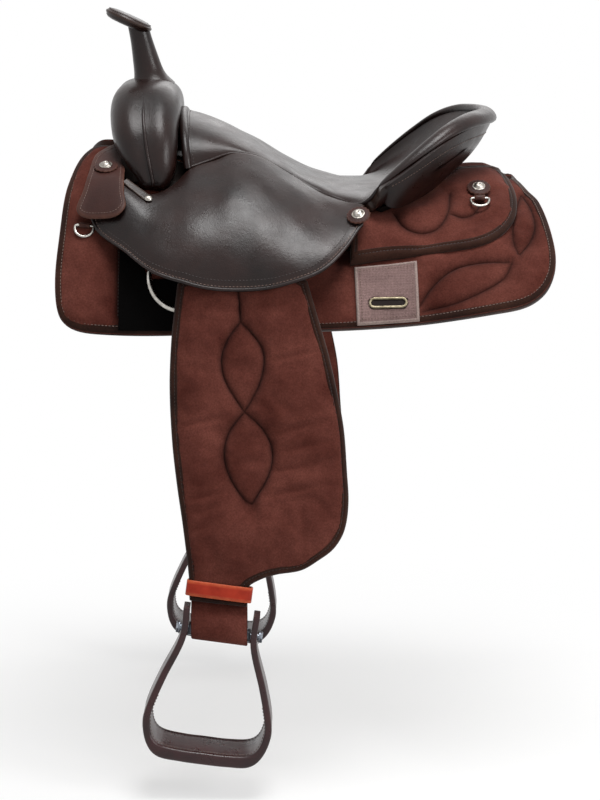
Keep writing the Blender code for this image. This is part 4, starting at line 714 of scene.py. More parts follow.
def make_ribbon(name, middle, across, off, half_width, thickness, material, wear=0.6):
    """A flat strap with softened edges along a line, given its width and face directions."""
    middle, across, off = (np.asarray(v, float) for v in (middle, across, off))
    half_width = np.broadcast_to(half_width, (len(middle),))
    half = 0.5 * thickness
    edge = 0.35 * thickness
    section = [(-1, -half + edge, 0), (-1, half - edge, 0), (-1, half, edge), (-0.5, half, 0),
               (0, half, 0), (0.5, half, 0), (1, half, -edge), (1, half - edge, 0),
               (1, -half + edge, 0), (1, -half, -edge), (0, -half, 0), (-1, -half, edge)]
    rings = []
    for side_share, rise, drawn_in in section:
        wide = (side_share * half_width + drawn_in)[:, None]
        rings.append(middle + across * wide + off * rise)
    points = np.stack(rings, 1).reshape(-1, 3)
    faces = rod_faces(len(section), len(middle))
    worn = np.tile([wear if abs(s) == 1 else 0.0 for s, _, _ in section], len(middle))
    return object_from(name, points, faces, material, worn=worn, sharp=55)


print("panel, binding, rod and strap makers ready")

# %% [markdown]
# Stitches are what tells a saddle from a moulded toy. A harness machine sews five or six to the
# inch with thick thread. Each stitch here is a small rounded lozenge that arches over the
# leather between its two holes.

# %% Stitches
STITCH_SHARE, STITCH_RADIUS, STITCH_LIFT = 0.72, 0.5 * MM, 0.25 * MM


def make_stitches(name, points, normals, material, pitch=4.6 * MM):
    """A row of stitches along a line of points, standing on the given normals."""
    points, normals = np.asarray(points, float), np.asarray(normals, float)
    steps = np.linalg.norm(np.diff(points, axis=0), axis=1)
    run = np.concatenate(([0], np.cumsum(steps)))
    count = max(1, int(run[-1] / pitch))
    starts = (np.arange(count) + 0.5 * (1 - STITCH_SHARE)) * run[-1] / count
    length = STITCH_SHARE * run[-1] / count

    def at(where, values=points):
        return np.stack([np.interp(where, run, values[:, k]) for k in range(3)], -1)
    first, last = at(starts), at(starts + length)
    middle = at(starts + 0.5 * length)
    up = unit(at(starts + 0.5 * length, normals))
    along = unit(last - first)
    across = np.cross(up, along)
    rings = [first[:, None] - up[:, None] * 0.3 * STITCH_RADIUS]
    for share_along, wide, arch in ((-0.32, 0.85, 0.75), (0.0, 1.0, 1.0), (0.32, 0.85, 0.75)):
        centre = middle + along * share_along * length + up * STITCH_LIFT * arch
        for angle in (0.15, 0.5, 0.85, 1.5):
            turn = math.pi * angle
            rings.append((centre + across * STITCH_RADIUS * wide * math.cos(turn)
                          + up * STITCH_RADIUS * wide * math.sin(turn))[:, None])
    rings.append(last[:, None] - up[:, None] * 0.3 * STITCH_RADIUS)
    block = np.concatenate(rings, 1)
    faces = []
    for k in range(4):
        after = (k + 1) % 4
        faces.append((0, 1 + after, 1 + k))
        faces.append((13, 9 + k, 9 + after))
        for row in (1, 5):
            faces.append((row + k, row + after, row + 4 + after, row + 4 + k))
    every = [tuple(n * 14 + i for i in face) for n in range(count) for face in faces]
    return object_from(name, block.reshape(-1, 3), every, material, sharp=80)


def sewn_line(surface, line, upper, rise=0.0):
    """Points and normals on a panel's upper face along a pattern line, for its stitches."""
    height = upper(line[:, 0], line[:, 1]) + rise
    low = surface(line[:, 0], line[:, 1], height)
    high = surface(line[:, 0], line[:, 1], height + 1 * MM)
    return low, (high - low) / MM


def sew(name, surface, line, upper, thread, rise=0.0, pitch=4.6 * MM):
    """One row of stitches along a pattern line of a panel, on both sides of the saddle."""
    both_sides(make_stitches(name, *sewn_line(surface, line, upper, rise), thread, pitch=pitch))


def inset(line, depth):
    """A pattern's outline, moved inward."""
    return line + line_normals(line) * depth


print("stitches are", STITCH_RADIUS * 2 / MM, "mm thick")

# %% [markdown]
# The fleece is what touches the blanket. It is the same shape as the skirt above it, a little
# smaller, and its under face is lumpy, because clipped wool never lies flat.

# %% Fleece
LAYER_GAP = 0.6 * MM
FLEECE_THICKNESS = 12 * MM
SKIRT_THICKNESS = 7.5 * MM
SKIRT_FACE = FLEECE_THICKNESS + LAYER_GAP + SKIRT_THICKNESS
ON_SKIRT = SKIRT_FACE + LAYER_GAP
SKIRT_TOP = 0.028
SKIRT_SIDE = (
    (-0.312, 0.062), (-0.321, -0.005), (-0.325, -0.062), (-0.320, -0.102), (-0.304, -0.119),
    (-0.270, -0.126), (-0.171, -0.127), (0.017, -0.119), (0.143, -0.110), (0.244, -0.094),
    (0.285, -0.084), (0.309, -0.066), (0.321, -0.040), (0.321, -0.010), (0.308, 0.036),
)


def skirt_outline():
    """The skirt's flat pattern, which the fleece under it shares."""
    front = [(-0.245, SKIRT_TOP + 0.012), (-0.285, SKIRT_TOP + 0.030)]
    rear = [(0.296, SKIRT_TOP + 0.040), (0.284, SKIRT_TOP, 1)]
    top = [(-0.10, SKIRT_TOP, 1), (-0.20, SKIRT_TOP, 1)]
    return front + side(back, SKIRT_FACE, SKIRT_SIDE) + rear + top


def curls_of_wool(x, s):
    """Lumps in clipped wool, from crossed waves of unlike length."""
    high = np.sin(x * 520 + 3 * np.sin(s * 310)) * np.sin(s * 470 + 2 * np.sin(x * 390))
    return 0.5 * MM * high


fleece, *_ = make_panel(
    "fleece_lining", lambda x, s, d: back(x, s, FLEECE_THICKNESS - d), skirt_outline(), 0.3 * MM,
    FLEECE_THICKNESS - 0.5 * MM, fleece_wool, pitch=6 * MM, edge_dip=2.5 * MM, edge_ease=5 * MM,
    ripple=curls_of_wool)
both_sides(fleece, nodes=["fleece"])
print("fleece points:", len(fleece.data.vertices))

# %% [markdown]
# The skirts are foam between two layers of cordura, quilted with long leaf shapes. One tape
# binds skirt and fleece together all round. The leaves are the seams that the cloth puckers at.

# %% Skirts
SKIRT_QUILTING = (
    ((0.286, 0.043), (0.278, 0.030), (0.271, 0.010), (0.270, -0.010), (0.275, -0.024)),
    ((0.288, 0.042), (0.297, 0.026), (0.299, 0.008), (0.291, -0.010), (0.277, -0.025)),
    ((0.147, -0.088), (0.163, -0.066), (0.190, -0.045), (0.225, -0.036), (0.262, -0.034)),
    ((0.153, -0.095), (0.190, -0.086), (0.228, -0.070), (0.255, -0.054), (0.266, -0.036)),
)
PANEL_SIDE = ((-0.242, -0.020, 1), (-0.2425, -0.122, 1), (-0.120, -0.122, 1), (-0.120, -0.058, 1),
              (-0.206, -0.058, 1), (-0.216, -0.020, 1))
TAB_SIDE = ((0.063, -0.044, 1), (0.143, -0.035, 1), (0.145, -0.107, 1), (0.066, -0.113, 1))
UNDER_JOCKEY = ((0.058, -0.036, 1), (0.167, -0.021), (0.250, -0.001), (0.274, 0.019),
                (0.278, 0.040), (0.260, 0.052), (0.060, 0.052, 1))
covered = [side(back, SKIRT_FACE, line) for line in (PANEL_SIDE, TAB_SIDE, UNDER_JOCKEY)]
skirt_lines = [side(back, SKIRT_FACE, line) for line in SKIRT_QUILTING]
front_seam = side(back, SKIRT_FACE, [(-0.2435, z) for z in (0.03, -0.02, -0.07, -0.105)])
skirt, skirt_line, skirt_top = make_panel(
    "quilted_skirt", back, skirt_outline(), FLEECE_THICKNESS + LAYER_GAP, SKIRT_FACE, cordura,
    seams=[*skirt_lines, front_seam], pitch=4.6 * MM, dip=4.6 * MM, ease=7.0 * MM,
    edge_dip=2.6 * MM, edge_ease=9 * MM, puff=(2.2, 0.045, 5 * MM), covers=covered)
both_sides(skirt, nodes=["skirt"])
skirt_tape = make_binding("skirt_binding", back, skirt_line, skirt_top, 0.6 * MM, binding_tape,
                          width=8.5 * MM)
both_sides(skirt_tape)
sew("skirt_binding_stitches", back, inset(skirt_line, 6.9 * MM), skirt_top, brown_thread, 1.1 * MM)
sew("skirt_front_seam_stitches", back, drawn(front_seam, 4 * MM, False), skirt_top, dark_thread)
print("skirt points:", len(skirt.data.vertices))

# %% [markdown]
# The neoprene panel behind the front rigging keeps the cinch ring off the cordura. It is thin
# closed-cell foam with a knitted face, as on a wetsuit.

# %% Rigging panel
NEOPRENE = 2 * MM
panel_points = side(back, ON_SKIRT + 4 * MM, PANEL_SIDE)
rigging_panel, *_ = make_panel("neoprene_rigging_panel", back, panel_points, ON_SKIRT + LAYER_GAP,
                               ON_SKIRT + LAYER_GAP + NEOPRENE, neoprene, round_edge=True)
both_sides(rigging_panel, nodes=["rigging_panel"])
print("rigging panel points:", len(rigging_panel.data.vertices))

# %% [markdown]
# The rear rigging is a pad of wide nylon webbing sewn to the skirt, with a metal-rimmed slot for
# the rear billet. The webbing has raised ribs across it and a pale woven edge.

# %% Rear rigging
SLOT_LENGTH, SLOT_WIDTH = 0.050, 0.015
tab_points = side(back, ON_SKIRT + 4 * MM, TAB_SIDE)
slot_middle = np.array(side(back, ON_SKIRT + 4 * MM, [(0.1055, -0.086)])[0])


def webbing_ribs(x, s):
    """Ribs across the webbing, with a folded hem near its top."""
    down = s - slot_middle[1]
    ribs = 0.30 * MM * np.sin((s + 0.10 * (x - 0.1)) * 2 * math.pi / (4.2 * MM))
    fold = 0.7 * MM * np.exp(-((down + 0.018) / (1.6 * MM)) ** 2)
    hollow = np.maximum(np.abs(x - slot_middle[0]) - 0.5 * (SLOT_LENGTH - SLOT_WIDTH), 0)
    slot_gap = np.hypot(hollow, down)
    return ribs + fold - 3.6 * MM * (slot_gap < 0.5 * SLOT_WIDTH - 0.5 * MM)


tab, tab_line, tab_top = make_panel("rear_rigging_webbing", back, tab_points, ON_SKIRT,
                                    ON_SKIRT + 3.7 * MM, webbing, pitch=2.6 * MM, edge_dip=0.8 * MM,
                                    edge_ease=2 * MM, ripple=webbing_ribs)
both_sides(tab, nodes=["rear_rigging_tab"])
selvedge = make_binding("rear_rigging_selvedge", back, tab_line, tab_top, ON_SKIRT, webbing_edge,
                        width=3.2 * MM, thick=0.7 * MM)
both_sides(selvedge)
sew("rear_rigging_stitches", back, inset(tab_line, 6.5 * MM), tab_top, brown_thread, pitch=4 * MM)
print("rear rigging tab points:", len(tab.data.vertices))

# %% [markdown]
# The rear jockey lies over the bars behind the seat. It is quilted like the skirt, with one
# curved line that echoes the seat, and its binding is sewn in two ridges.

# %% Rear jockeys
REAR_JOCKEY_THICKNESS = 9 * MM
IN_TAPE = 5.2 * MM
BAR_INNER, BAR_FRONT, BAR_REAR = 0.034, -0.228, 0.235
BAR_WAIST, BAR_TIP_WIDTH = 0.148, 0.105
BAR_THICKNESS = ((-0.26, 0.010), (-0.19, 0.019), (-0.05, 0.024), (0.06, 0.022),
                 (0.15, 0.013), (0.24, 0.006))
REAR_JOCKEY_SIDE = (
    (0.219, -0.013), (0.250, -0.001), (0.271, 0.019), (0.277, 0.040), (0.274, 0.056),
)


def bar_width(x):
    """How far down from the ridge the tree's bar reaches at a station."""
    return smooth(((BAR_FRONT, BAR_TIP_WIDTH * 0.8), (-0.20, BAR_TIP_WIDTH), (-0.12, BAR_WAIST),
                   (0.10, BAR_WAIST), (BAR_REAR, BAR_TIP_WIDTH)), x)


def bar_height(x, s, spread=0.0):
    """Thickness of the tree's bar: full in the middle, rounded off to both edges."""
    inner, outer = BAR_INNER - spread, bar_width(x) + spread
    across = np.clip((s - 0.5 * (inner + outer)) / (0.5 * (outer - inner)), -1, 1)
    lengthwise = np.clip(np.minimum(x - BAR_FRONT + spread, BAR_REAR + spread - x) / 0.02, 0, 1)
    return smooth(BAR_THICKNESS, x) * (1 - across ** 4) * lengthwise


def over_bars(x, s, d):
    """The skirt's face with the bar's bulge under the covering panel."""
    return back(x, s, d + 1.05 * bar_height(x, s, spread=0.030))


jockey_outer = ON_SKIRT + REAR_JOCKEY_THICKNESS
jockey_lower = side(over_bars, jockey_outer, (
    (0.058, -0.036, 1), (0.114, -0.028), (0.167, -0.021), *REAR_JOCKEY_SIDE))
jockey_points = jockey_lower + [(0.264, 0.022), (0.246, 0.010, 1), (0.204, 0.010, 1),
                                (0.190, 0.030), (0.168, 0.062), (0.140, 0.084), (0.110, 0.094),
                                (0.062, 0.098, 1)]
REAR_QUILTING = (
    ((0.116, 0.022), (0.128, 0.008), (0.150, 0.001), (0.172, 0.007), (0.186, 0.026), (0.190, 0.046)),
    ((0.190, 0.024), (0.205, 0.020), (0.222, 0.026), (0.234, 0.046)),
)
rear_jockey, rear_line, rear_top = make_panel(
    "quilted_rear_jockey", over_bars, jockey_points, ON_SKIRT, jockey_outer, cordura,
    seams=[side(over_bars, jockey_outer, line) for line in REAR_QUILTING], pitch=4.2 * MM,
    dip=4.8 * MM, ease=7.0 * MM, edge_dip=2.6 * MM, edge_ease=8 * MM, puff=(2.0, 0.04, 4 * MM))
both_sides(rear_jockey, nodes=["rear_jockey"])
both_sides(make_binding("rear_jockey_binding", over_bars, rear_line, rear_top, ON_SKIRT,
                        binding_tape, width=9 * MM, thick=1.3 * MM, ridges=2))
sew("rear_jockey_stitches", over_bars, inset(rear_line, IN_TAPE), rear_top, dark_thread, 0.3 * MM)
print("rear jockey points:", len(rear_jockey.data.vertices))

# %% [markdown]
# The seat is one piece of leather over foam. It climbs the fork in front and the cantle behind,
# and dips between them. Two tables give its middle line and its edge, and a quarter wave joins
# them, which is the shape that stretched leather takes over a rounded core. Toward the cantle
# the sides are lifted to broad shoulders, as in the photograph.

# %% Seat surface
SEAT_MIDDLE = (
    (0.0, -0.166, 0.149), (0.1, -0.140, 0.142), (0.2, -0.105, 0.128), (0.3, -0.070, 0.109),
    (0.4, -0.030, 0.083), (0.5, 0.015, 0.063), (0.6, 0.062, 0.054), (0.7, 0.115, 0.059),
    (0.8, 0.165, 0.080), (0.9, 0.207, 0.110), (1.0, 0.238, 0.143),
)
SEAT_EDGE = (
    (0.0, -0.157, 0.120, 0.077), (0.1, -0.130, 0.1135, 0.086), (0.2, -0.100, 0.108, 0.096),
    (0.3, -0.070, 0.105, 0.094), (0.4, -0.030, 0.108, 0.0745), (0.5, 0.010, 0.1235, 0.051),
    (0.6, 0.045, 0.145, 0.0385), (0.7, 0.068, 0.161, 0.035), (0.8, 0.080, 0.168, 0.041),
    (0.9, 0.088, 0.171, 0.049), (1.0, 0.094, 0.172, 0.058),
)
CANTLE_SHOULDER = ((0.0, 0.02), (0.2, 0.31), (0.4, 0.58), (0.6, 0.82), (0.8, 0.965), (1.0, 1.0))
SEAT_PADDING = 16 * MM


def column(table, k, v):
    return smooth(tuple((row[0], row[k]) for row in table), v)


def seat_point(u, v):
    """The seat's upper face: u from -1 to 1 across, v from 0 at the fork to 1 at the rim."""
    u, v = np.broadcast_arrays(np.asarray(u, float), v)
    rise, across = np.cos(0.5 * math.pi * u), np.sin(0.5 * math.pi * u)
    x_edge, z_edge = column(SEAT_EDGE, 1, v), column(SEAT_EDGE, 3, v)
    x = x_edge + (column(SEAT_MIDDLE, 1, v) - x_edge) * rise
    shoulder = (smooth(CANTLE_SHOULDER, rise) - rise) * smooth(((0.55, 0.0), (1.0, 1.0)), v)
    z = z_edge + (column(SEAT_MIDDLE, 2, v) - z_edge) * (rise + shoulder)
    return np.stack((x, column(SEAT_EDGE, 2, v) * across, z), -1)


def seat_offset(u, v, d):
    """A point off the seat's upper face, d along its normal."""
    across = seat_point(np.minimum(u + 0.03, 1), v) - seat_point(np.maximum(u - 0.03, -1), v)
    along = seat_point(u, np.minimum(v + 0.02, 1)) - seat_point(u, np.maximum(v - 0.02, 0))
    return seat_point(u, v) + unit(np.cross(along, across)) * np.asarray(d)[..., None]


SEAT_COLUMNS, SEAT_ROWS = 121, 85
u_lines = 0.992 * np.sin(np.linspace(-0.5, 0.5, SEAT_ROWS) * math.pi * 0.985)
v_lines = np.linspace(0, 1, SEAT_COLUMNS)
u_grid, v_grid = np.meshgrid(u_lines, v_lines)
tuck = np.exp(-(1 - np.abs(u_grid)) / 0.012) * 2.0 * MM
front_tuck = np.exp(-v_grid / 0.02) * 1.2 * MM
folds = 0.5 * MM * np.sin(v_grid * 60 + 6 * u_grid) * np.exp(-((v_grid - 0.58) / 0.12) ** 2)
folds += 1.1 * MM * np.sin(u_grid * 7 + v_grid * 13) * np.exp(-((v_grid - 0.4) / 0.3) ** 2)
upper_face = seat_offset(u_grid, v_grid, -tuck - front_tuck + folds)
lower_face = seat_offset(u_grid, v_grid, -SEAT_PADDING)
seat = shell("padded_seat", upper_face.reshape(-1, 3), lower_face.reshape(-1, 3),
             grid_faces(SEAT_ROWS, SEAT_COLUMNS), seat_leather,
             worn=(np.exp(-(1 - np.abs(u_grid)) / 0.02) * 0.5).ravel())
single(seat, ["seat"])
print("seat points:", len(seat.data.vertices))

# %% [markdown]
# A welt is a cord wrapped in thin leather and caught in a seam. One runs along the line where
# the seat meets the jockeys, and one rolls the seat's front edge over the fork.

# %% Seat welts
SEAM_WELT, FRONT_WELT = 2.4 * MM, 5.6 * MM
seam_v = np.linspace(0.0, 0.985, 110)
seam_points = seat_offset(0.994, seam_v, -1.2 * MM)
welt_radius = SEAM_WELT * np.clip((1 - seam_v) / 0.08, 0.15, 1)
both_sides(make_tube("seat_seam_welt", seam_points, welt_radius, seat_leather, sides=8))
front_u = np.linspace(-0.995, 0.995, 90)
front_points = seat_offset(front_u, 0.004, -1.5 * MM)
single(make_tube("seat_front_welt", front_points, FRONT_WELT, seat_leather, sides=16))
row_u = np.linspace(-0.97, 0.97, 90)
row_points = seat_offset(row_u, 0.035, -0.2 * MM)
row_up = seat_offset(row_u, 0.035, 1.0 * MM)
single(make_stitches("seat_front_stitches", row_points, unit(row_up - row_points), dark_thread))
print("seat welt radius:", round(float(welt_radius.max()) / MM, 1), "mm")

# %% [markdown]
# The seat jockeys are single skins of thick leather that hang from the seam and flare over the
# tops of the fenders. Their lower edges are rolled and sewn twice.

# %% Seat jockeys
SEAM = ((-0.285, 0.140, 0.072), (-0.240, 0.158, 0.064), (-0.205, 0.165, 0.046),
        (-0.175, 0.150, 0.056), (-0.153, 0.124, 0.076), (-0.120, 0.1125, 0.087),
        (-0.0935, 0.1075, 0.096), (-0.061, 0.1045, 0.091), (-0.021, 0.1095, 0.0685),
        (0.018, 0.1275, 0.046), (0.051, 0.1495, 0.0355), (0.080, 0.1690, 0.033))
FLANK_HEM = ((-0.285, 0.214), (-0.235, 0.236), (-0.19, 0.258), (-0.08, 0.2595),
             (0.03, 0.259), (0.08, 0.243))
FLANK_FULLNESS = ((-0.285, 0.0), (-0.19, 0.9), (-0.08, 1.0), (0.03, 0.9), (0.08, 0.5))
FLANK_LEVEL = -0.075
FLANK_GIRTH = 0.24
JOCKEY_LEATHER = 5 * MM
JOCKEY_FACE = 0.5 * JOCKEY_LEATHER
SEAM_ALLOWANCE = 0.003
JOCKEY_LOWER = (
    (-0.282, 0.022, 1), (-0.268, 0.000), (-0.226, -0.026), (-0.1815, -0.050), (-0.137, -0.063),
    (-0.085, -0.068), (-0.034, -0.062), (0.018, -0.044), (0.050, -0.018), (0.074, 0.012, 1),
)


def flank_section(x, s):
    """The jockey's section: a curve from the seam, out over the fender and down."""
    t = s / FLANK_GIRTH
    y0, z0 = column(SEAM, 1, x), column(SEAM, 2, x)
    y3, z3 = smooth(FLANK_HEM, x), FLANK_LEVEL
    full = smooth(FLANK_FULLNESS, x)
    y1, z1 = y0 + 0.30 * (y3 - y0), z0 - 0.10 * (z0 - z3)
    y2, z2 = y3 - 0.004 * full - 0.3 * (1 - full) * (y3 - y0), z3 + 0.55 * (z0 - z3)
    weights = ((1 - t) ** 3, 3 * t * (1 - t) ** 2, 3 * t * t * (1 - t), t ** 3)
    y = sum(w * p for w, p in zip(weights, (y0, y1, y2, y3)))
    z = sum(w * p for w, p in zip(weights, (z0, z1, z2, z3)))
    return y, z


def flank(x, s, d):
    return raised(flank_section, x, s, d)


flap_points = side(flank, JOCKEY_FACE, JOCKEY_LOWER)
flap_points += [(0.076, SEAM_ALLOWANCE, 1), (-0.150, SEAM_ALLOWANCE, 1)]
flap_points += side(flank, JOCKEY_FACE, ((-0.172, 0.061), (-0.190, 0.055), (-0.212, 0.055),
                                         (-0.232, 0.061), (-0.252, 0.063, 1)))


def jockey_waves(x, s):
    """Slow hollows where the hide was pulled over the rigging and the fender's top."""
    slow = 1.5 * np.sin(x * 30 + 1.2 + 14 * s) * np.sin(s * 24 + 0.5)
    quick = 0.5 * np.sin(x * 83 - 20 * s) * np.sin(s * 61 + 1)
    return MM * (slow + quick) * np.clip(s / 0.05, 0, 1)


seat_jockey, flap_line, flap_top = make_panel(
    "seat_jockey_leather", flank, flap_points, -JOCKEY_FACE, JOCKEY_FACE,
    seat_leather, pitch=5 * MM, round_edge=True, ripple=jockey_waves, wear=0.5)
both_sides(seat_jockey, nodes=["seat_jockey"])
hem_line = drawn(side(flank, JOCKEY_FACE, JOCKEY_LOWER), 3.5 * MM, closed=False)
hem_inward = -line_normals(hem_line, False)
if not inside(hem_line[40:41] + hem_inward[40:41] * 5 * MM, flap_line)[0]:
    hem_inward = -hem_inward
for number, (depth, thread) in enumerate(((5.5 * MM, brown_thread), (12.5 * MM, dark_thread))):
    row = hem_line[2:-2] + hem_inward[2:-2] * depth
    sew(f"seat_jockey_stitches_{number}", flank, row, flap_top, thread)
hem_roll = flank(*(hem_line + hem_inward * 2.2 * MM).T, 1.2 * MM)
both_sides(make_tube("seat_jockey_rolled_edge", hem_roll, 2.4 * MM, seat_leather, sides=10))
print("seat jockey points:", len(seat_jockey.data.vertices))

# %% [markdown]
# The fork cover is wet leather stretched over the swells and sewn together down each side, where
# the two halves of the hide meet. Each swell ends in a rounded lobe over the jockey.

# %% Fork cover
FORK_MIDDLE, FORK_HALF_LENGTH = -0.218, 0.046
FORK_ARC = (math.radians(-22), math.radians(202))
LOBE_SHARE = 0.16


def fork_point(a, angle, grow=0.0):
    """The fork's skin: a from -1 to 1 across the saddle, an angle round its section."""
    far = np.abs(a)
    over = np.clip(far - 1, 0, 1)
    taper = np.sqrt(np.maximum(1 - (over / LOBE_SHARE) ** 2, 0.0004))
    shift = smooth(((0.0, 0.005), (0.6, 0.004), (1.0, 0.017)), far)
    y = smooth(((0.0, 0.0), (0.33, 0.055), (0.66, 0.101), (0.85, 0.118), (1.0, 0.123)), far)
    z = smooth(((0.0, 0.158), (0.33, 0.149), (0.66, 0.117), (0.85, 0.086), (1.0, 0.062)), far)
    lean = smooth(((0.0, 0.0), (0.33, 0.42), (0.66, 1.02), (0.85, 1.35), (1.0, 1.57)), far)
    depth = smooth(((0.0, 0.034), (0.5, 0.036), (0.8, 0.032), (1.0, 0.025)), far) + grow
    length = smooth(((0.0, 0.96), (0.35, 1.01), (0.58, 0.96), (0.72, 0.90), (0.84, 0.78),
                     (0.93, 0.66), (1.0, 0.50)), far) * FORK_HALF_LENGTH + grow
    c, s = np.cos(angle), np.sin(angle)
    fore = np.sign(c) * np.abs(c) ** 0.70 * length * taper
    up = np.sign(s) * np.abs(s) ** 0.78 * depth * taper
    x = FORK_MIDDLE + shift + fore
    y = y + np.sin(lean) * up
    z = z + np.cos(lean) * up - over * 0.085
    return np.stack((x, np.where(a < 0, -y, y), z), -1)


lobe_lines = 1 + LOBE_SHARE * np.sin(np.linspace(0.08, 0.5, 7) * math.pi)
across_lines = np.concatenate((-lobe_lines[::-1], np.linspace(-1, 1, 61), lobe_lines))
around_lines = np.linspace(*FORK_ARC, 41)
angle_grid, a_grid = np.meshgrid(around_lines, across_lines)
valley = np.exp(-((angle_grid - math.pi / 2) / 0.24) ** 2)
valley *= np.clip((np.abs(a_grid) - 0.36) / 0.16, 0, 1)
fork_outer = fork_point(a_grid, angle_grid, -3.0 * MM * valley)
fork_inner = fork_point(a_grid, angle_grid, -3.5 * MM)
# The seam attribute paints shade into the valleys along the fork's side seams.
fork_cover = shell("fork_cover_leather", fork_outer.reshape(-1, 3), fork_inner.reshape(-1, 3),
                   grid_faces(len(around_lines), len(across_lines)), seat_leather,
                   seam=(0.35 * valley).ravel())
single(fork_cover, ["fork_cover"])
seam_shares = np.linspace(0.44, 1.06, 60)
seam_crest = fork_point(seam_shares, math.pi / 2, -1.6 * MM)
seam_size = 2.2 * MM * np.clip((seam_shares - 0.43) / 0.15, 0.2, 1)
both_sides(make_tube("fork_seam_welt", seam_crest, seam_size, seat_leather, sides=12))
print("fork cover points:", len(fork_cover.data.vertices))

# %% [markdown]
# The horn is a steel post with a wrapped leather neck, and a cap of two leather discs sewn
# round their rim. The cap tilts forward, so that a rope slides off it to the front.

# %% Horn
CAP_LENGTH, CAP_WIDTH, CAP_THICKNESS = 67 * MM, 58 * MM, 15 * MM
CAP_TILT = math.radians(24)
CAP_MIDDLE = (-0.240, 0.0, 0.2685)


def turned(name, profile, place, material, steps=40, oval=(1.0, 1.0), worn=None):
    """A turned piece from (radius, height) pairs, placed by a matrix."""
    turn = np.arange(steps) * 2 * math.pi / steps
    rings = [np.stack((r * np.cos(turn) * oval[0], r * np.sin(turn) * oval[1],
                       np.full(steps, h)), -1) for r, h in profile]
    spread = None if worn is None else np.repeat(worn, steps)
    return object_from(name, placed(np.concatenate(rings), place), rod_faces(steps, len(profile)),
                       material, worn=spread, sharp=45)


def in_mm(profile):
    """A profile of (radius, height) pairs that is written in millimetres."""
    return [(r * MM, h * MM) for r, h in profile]


def axis_place(start, end):
    """A matrix whose Z runs from start to end."""
    place = (end - start).normalized().to_track_quat("Z", "Y").to_matrix().to_4x4()
    place.translation = start
    return place


neck_start, neck_end = Vector((-0.2090, 0.0, 0.178)), Vector((-0.2275, 0.0, 0.262))
neck_height = (neck_end - neck_start).length
neck_table = ((0.0, 32.0), (0.06, 28.5), (0.14, 23.8), (0.25, 20.2), (0.5, 17.2), (0.75, 14.8),
              (0.92, 14.0), (1.0, 13.8))
neck_profile = [(float(smooth(neck_table, t)) * MM, t * neck_height)
                for t in np.linspace(0.0, 1.0, 34)]
neck = turned("horn_neck_leather", neck_profile, axis_place(neck_start, neck_end), seat_leather)
single(neck, ["horn_wrap"])
cap_place = Matrix.Translation(CAP_MIDDLE) @ Matrix.Rotation(CAP_TILT, 4, "Y")
half = 0.5 * CAP_THICKNESS
cap_profile = [(0.02, half * 1.02), (0.35, half), (0.66, half * 0.94), (0.84, half * 0.78),
               (0.93, half * 0.52), (0.955, half * 0.34), (0.99, half * 0.26), (1.0, half * 0.05),
               (0.985, -half * 0.16), (0.95, -half * 0.26), (0.93, -half * 0.55),
               (0.84, -half * 0.85), (0.7, -half), (0.02, -half)]
cap = turned("horn_cap_leather", cap_profile, cap_place, seat_leather, steps=64,
             oval=(0.5 * CAP_LENGTH, 0.5 * CAP_WIDTH),
             worn=[0, 0, 0, 0.1, 0.2, 0.1, 0.4, 0.5, 0.4, 0.1, 0.1, 0.1, 0, 0])
single(cap, ["horn_cap"])
turn = np.linspace(0, 2 * math.pi, 90)
rim = np.stack((0.90 * 0.5 * CAP_LENGTH * np.cos(turn), 0.90 * 0.5 * CAP_WIDTH * np.sin(turn),
                np.full(90, half * 0.64)), -1)
rim_up = np.stack((0.6 * np.cos(turn), 0.6 * np.sin(turn), np.full(90, 0.8)), -1)
rotation = np.array(cap_place.to_3x3()).T
single(make_stitches("horn_cap_stitches", placed(rim, cap_place), unit(rim_up @ rotation),
                     dark_thread, pitch=4.2 * MM))
print("horn cap", round(CAP_LENGTH / MM), "by", round(CAP_WIDTH / MM), "mm")

# %% [markdown]
# The cantle is a dished board. Its back is a smooth skin of leather and its rim is a soft roll,
# sewn down with one row that follows the edge.

# %% Cantle
def cantle_base(u):
    """The line where the back of the cantle comes down behind the seat."""
    rise = np.cos(0.5 * math.pi * u)
    return np.stack((0.086 + 0.100 * rise, 0.170 * np.sin(0.5 * math.pi * u),
                     0.026 + 0.040 * rise ** 1.5), -1)


def outward_at(u, rise=0.0):
    """Directions that point out of the cantle in plan, tilted by a rise or a fall."""
    angle = 0.5 * math.pi * u
    return np.stack((np.cos(angle), np.sin(angle), 0 * angle + rise), -1)


def cantle_rim(u, out, up):
    """A point by the rim, moved outward in plan and upward."""
    made = seat_point(u, 1.0) + outward_at(u) * np.asarray(out)[..., None]
    made[..., 2] += up
    return made


def cantle_skin(u, share, out):
    """The leather on the back of the cantle, share 0 at its foot and 1 under the roll."""
    rise, share = np.cos(0.5 * math.pi * u), np.broadcast_to(share, np.shape(u))
    end = np.clip((np.abs(u) - CANTLE_CORNER) / (CANTLE_SPAN - CANTLE_CORNER), 0, 1)
    base = cantle_base(u)
    base[..., 2] += 0.024 * (1 - np.sqrt(1 - 0.998 * end ** 2))
    base[..., 0] += 0.006 * end
    top_line = cantle_rim(u, 0.008 + 0.006 * (1 - rise), -0.005)
    belly = 7 * MM * np.sin(math.pi * share) * (0.35 + 0.65 * rise) * (1 - 0.6 * end)
    sunk = 3.5 * MM * end ** 3
    return (base * (1 - share[..., None]) + top_line * share[..., None]
            + unit(outward_at(u, -0.6)) * (np.asarray(out) + belly - sunk)[..., None])


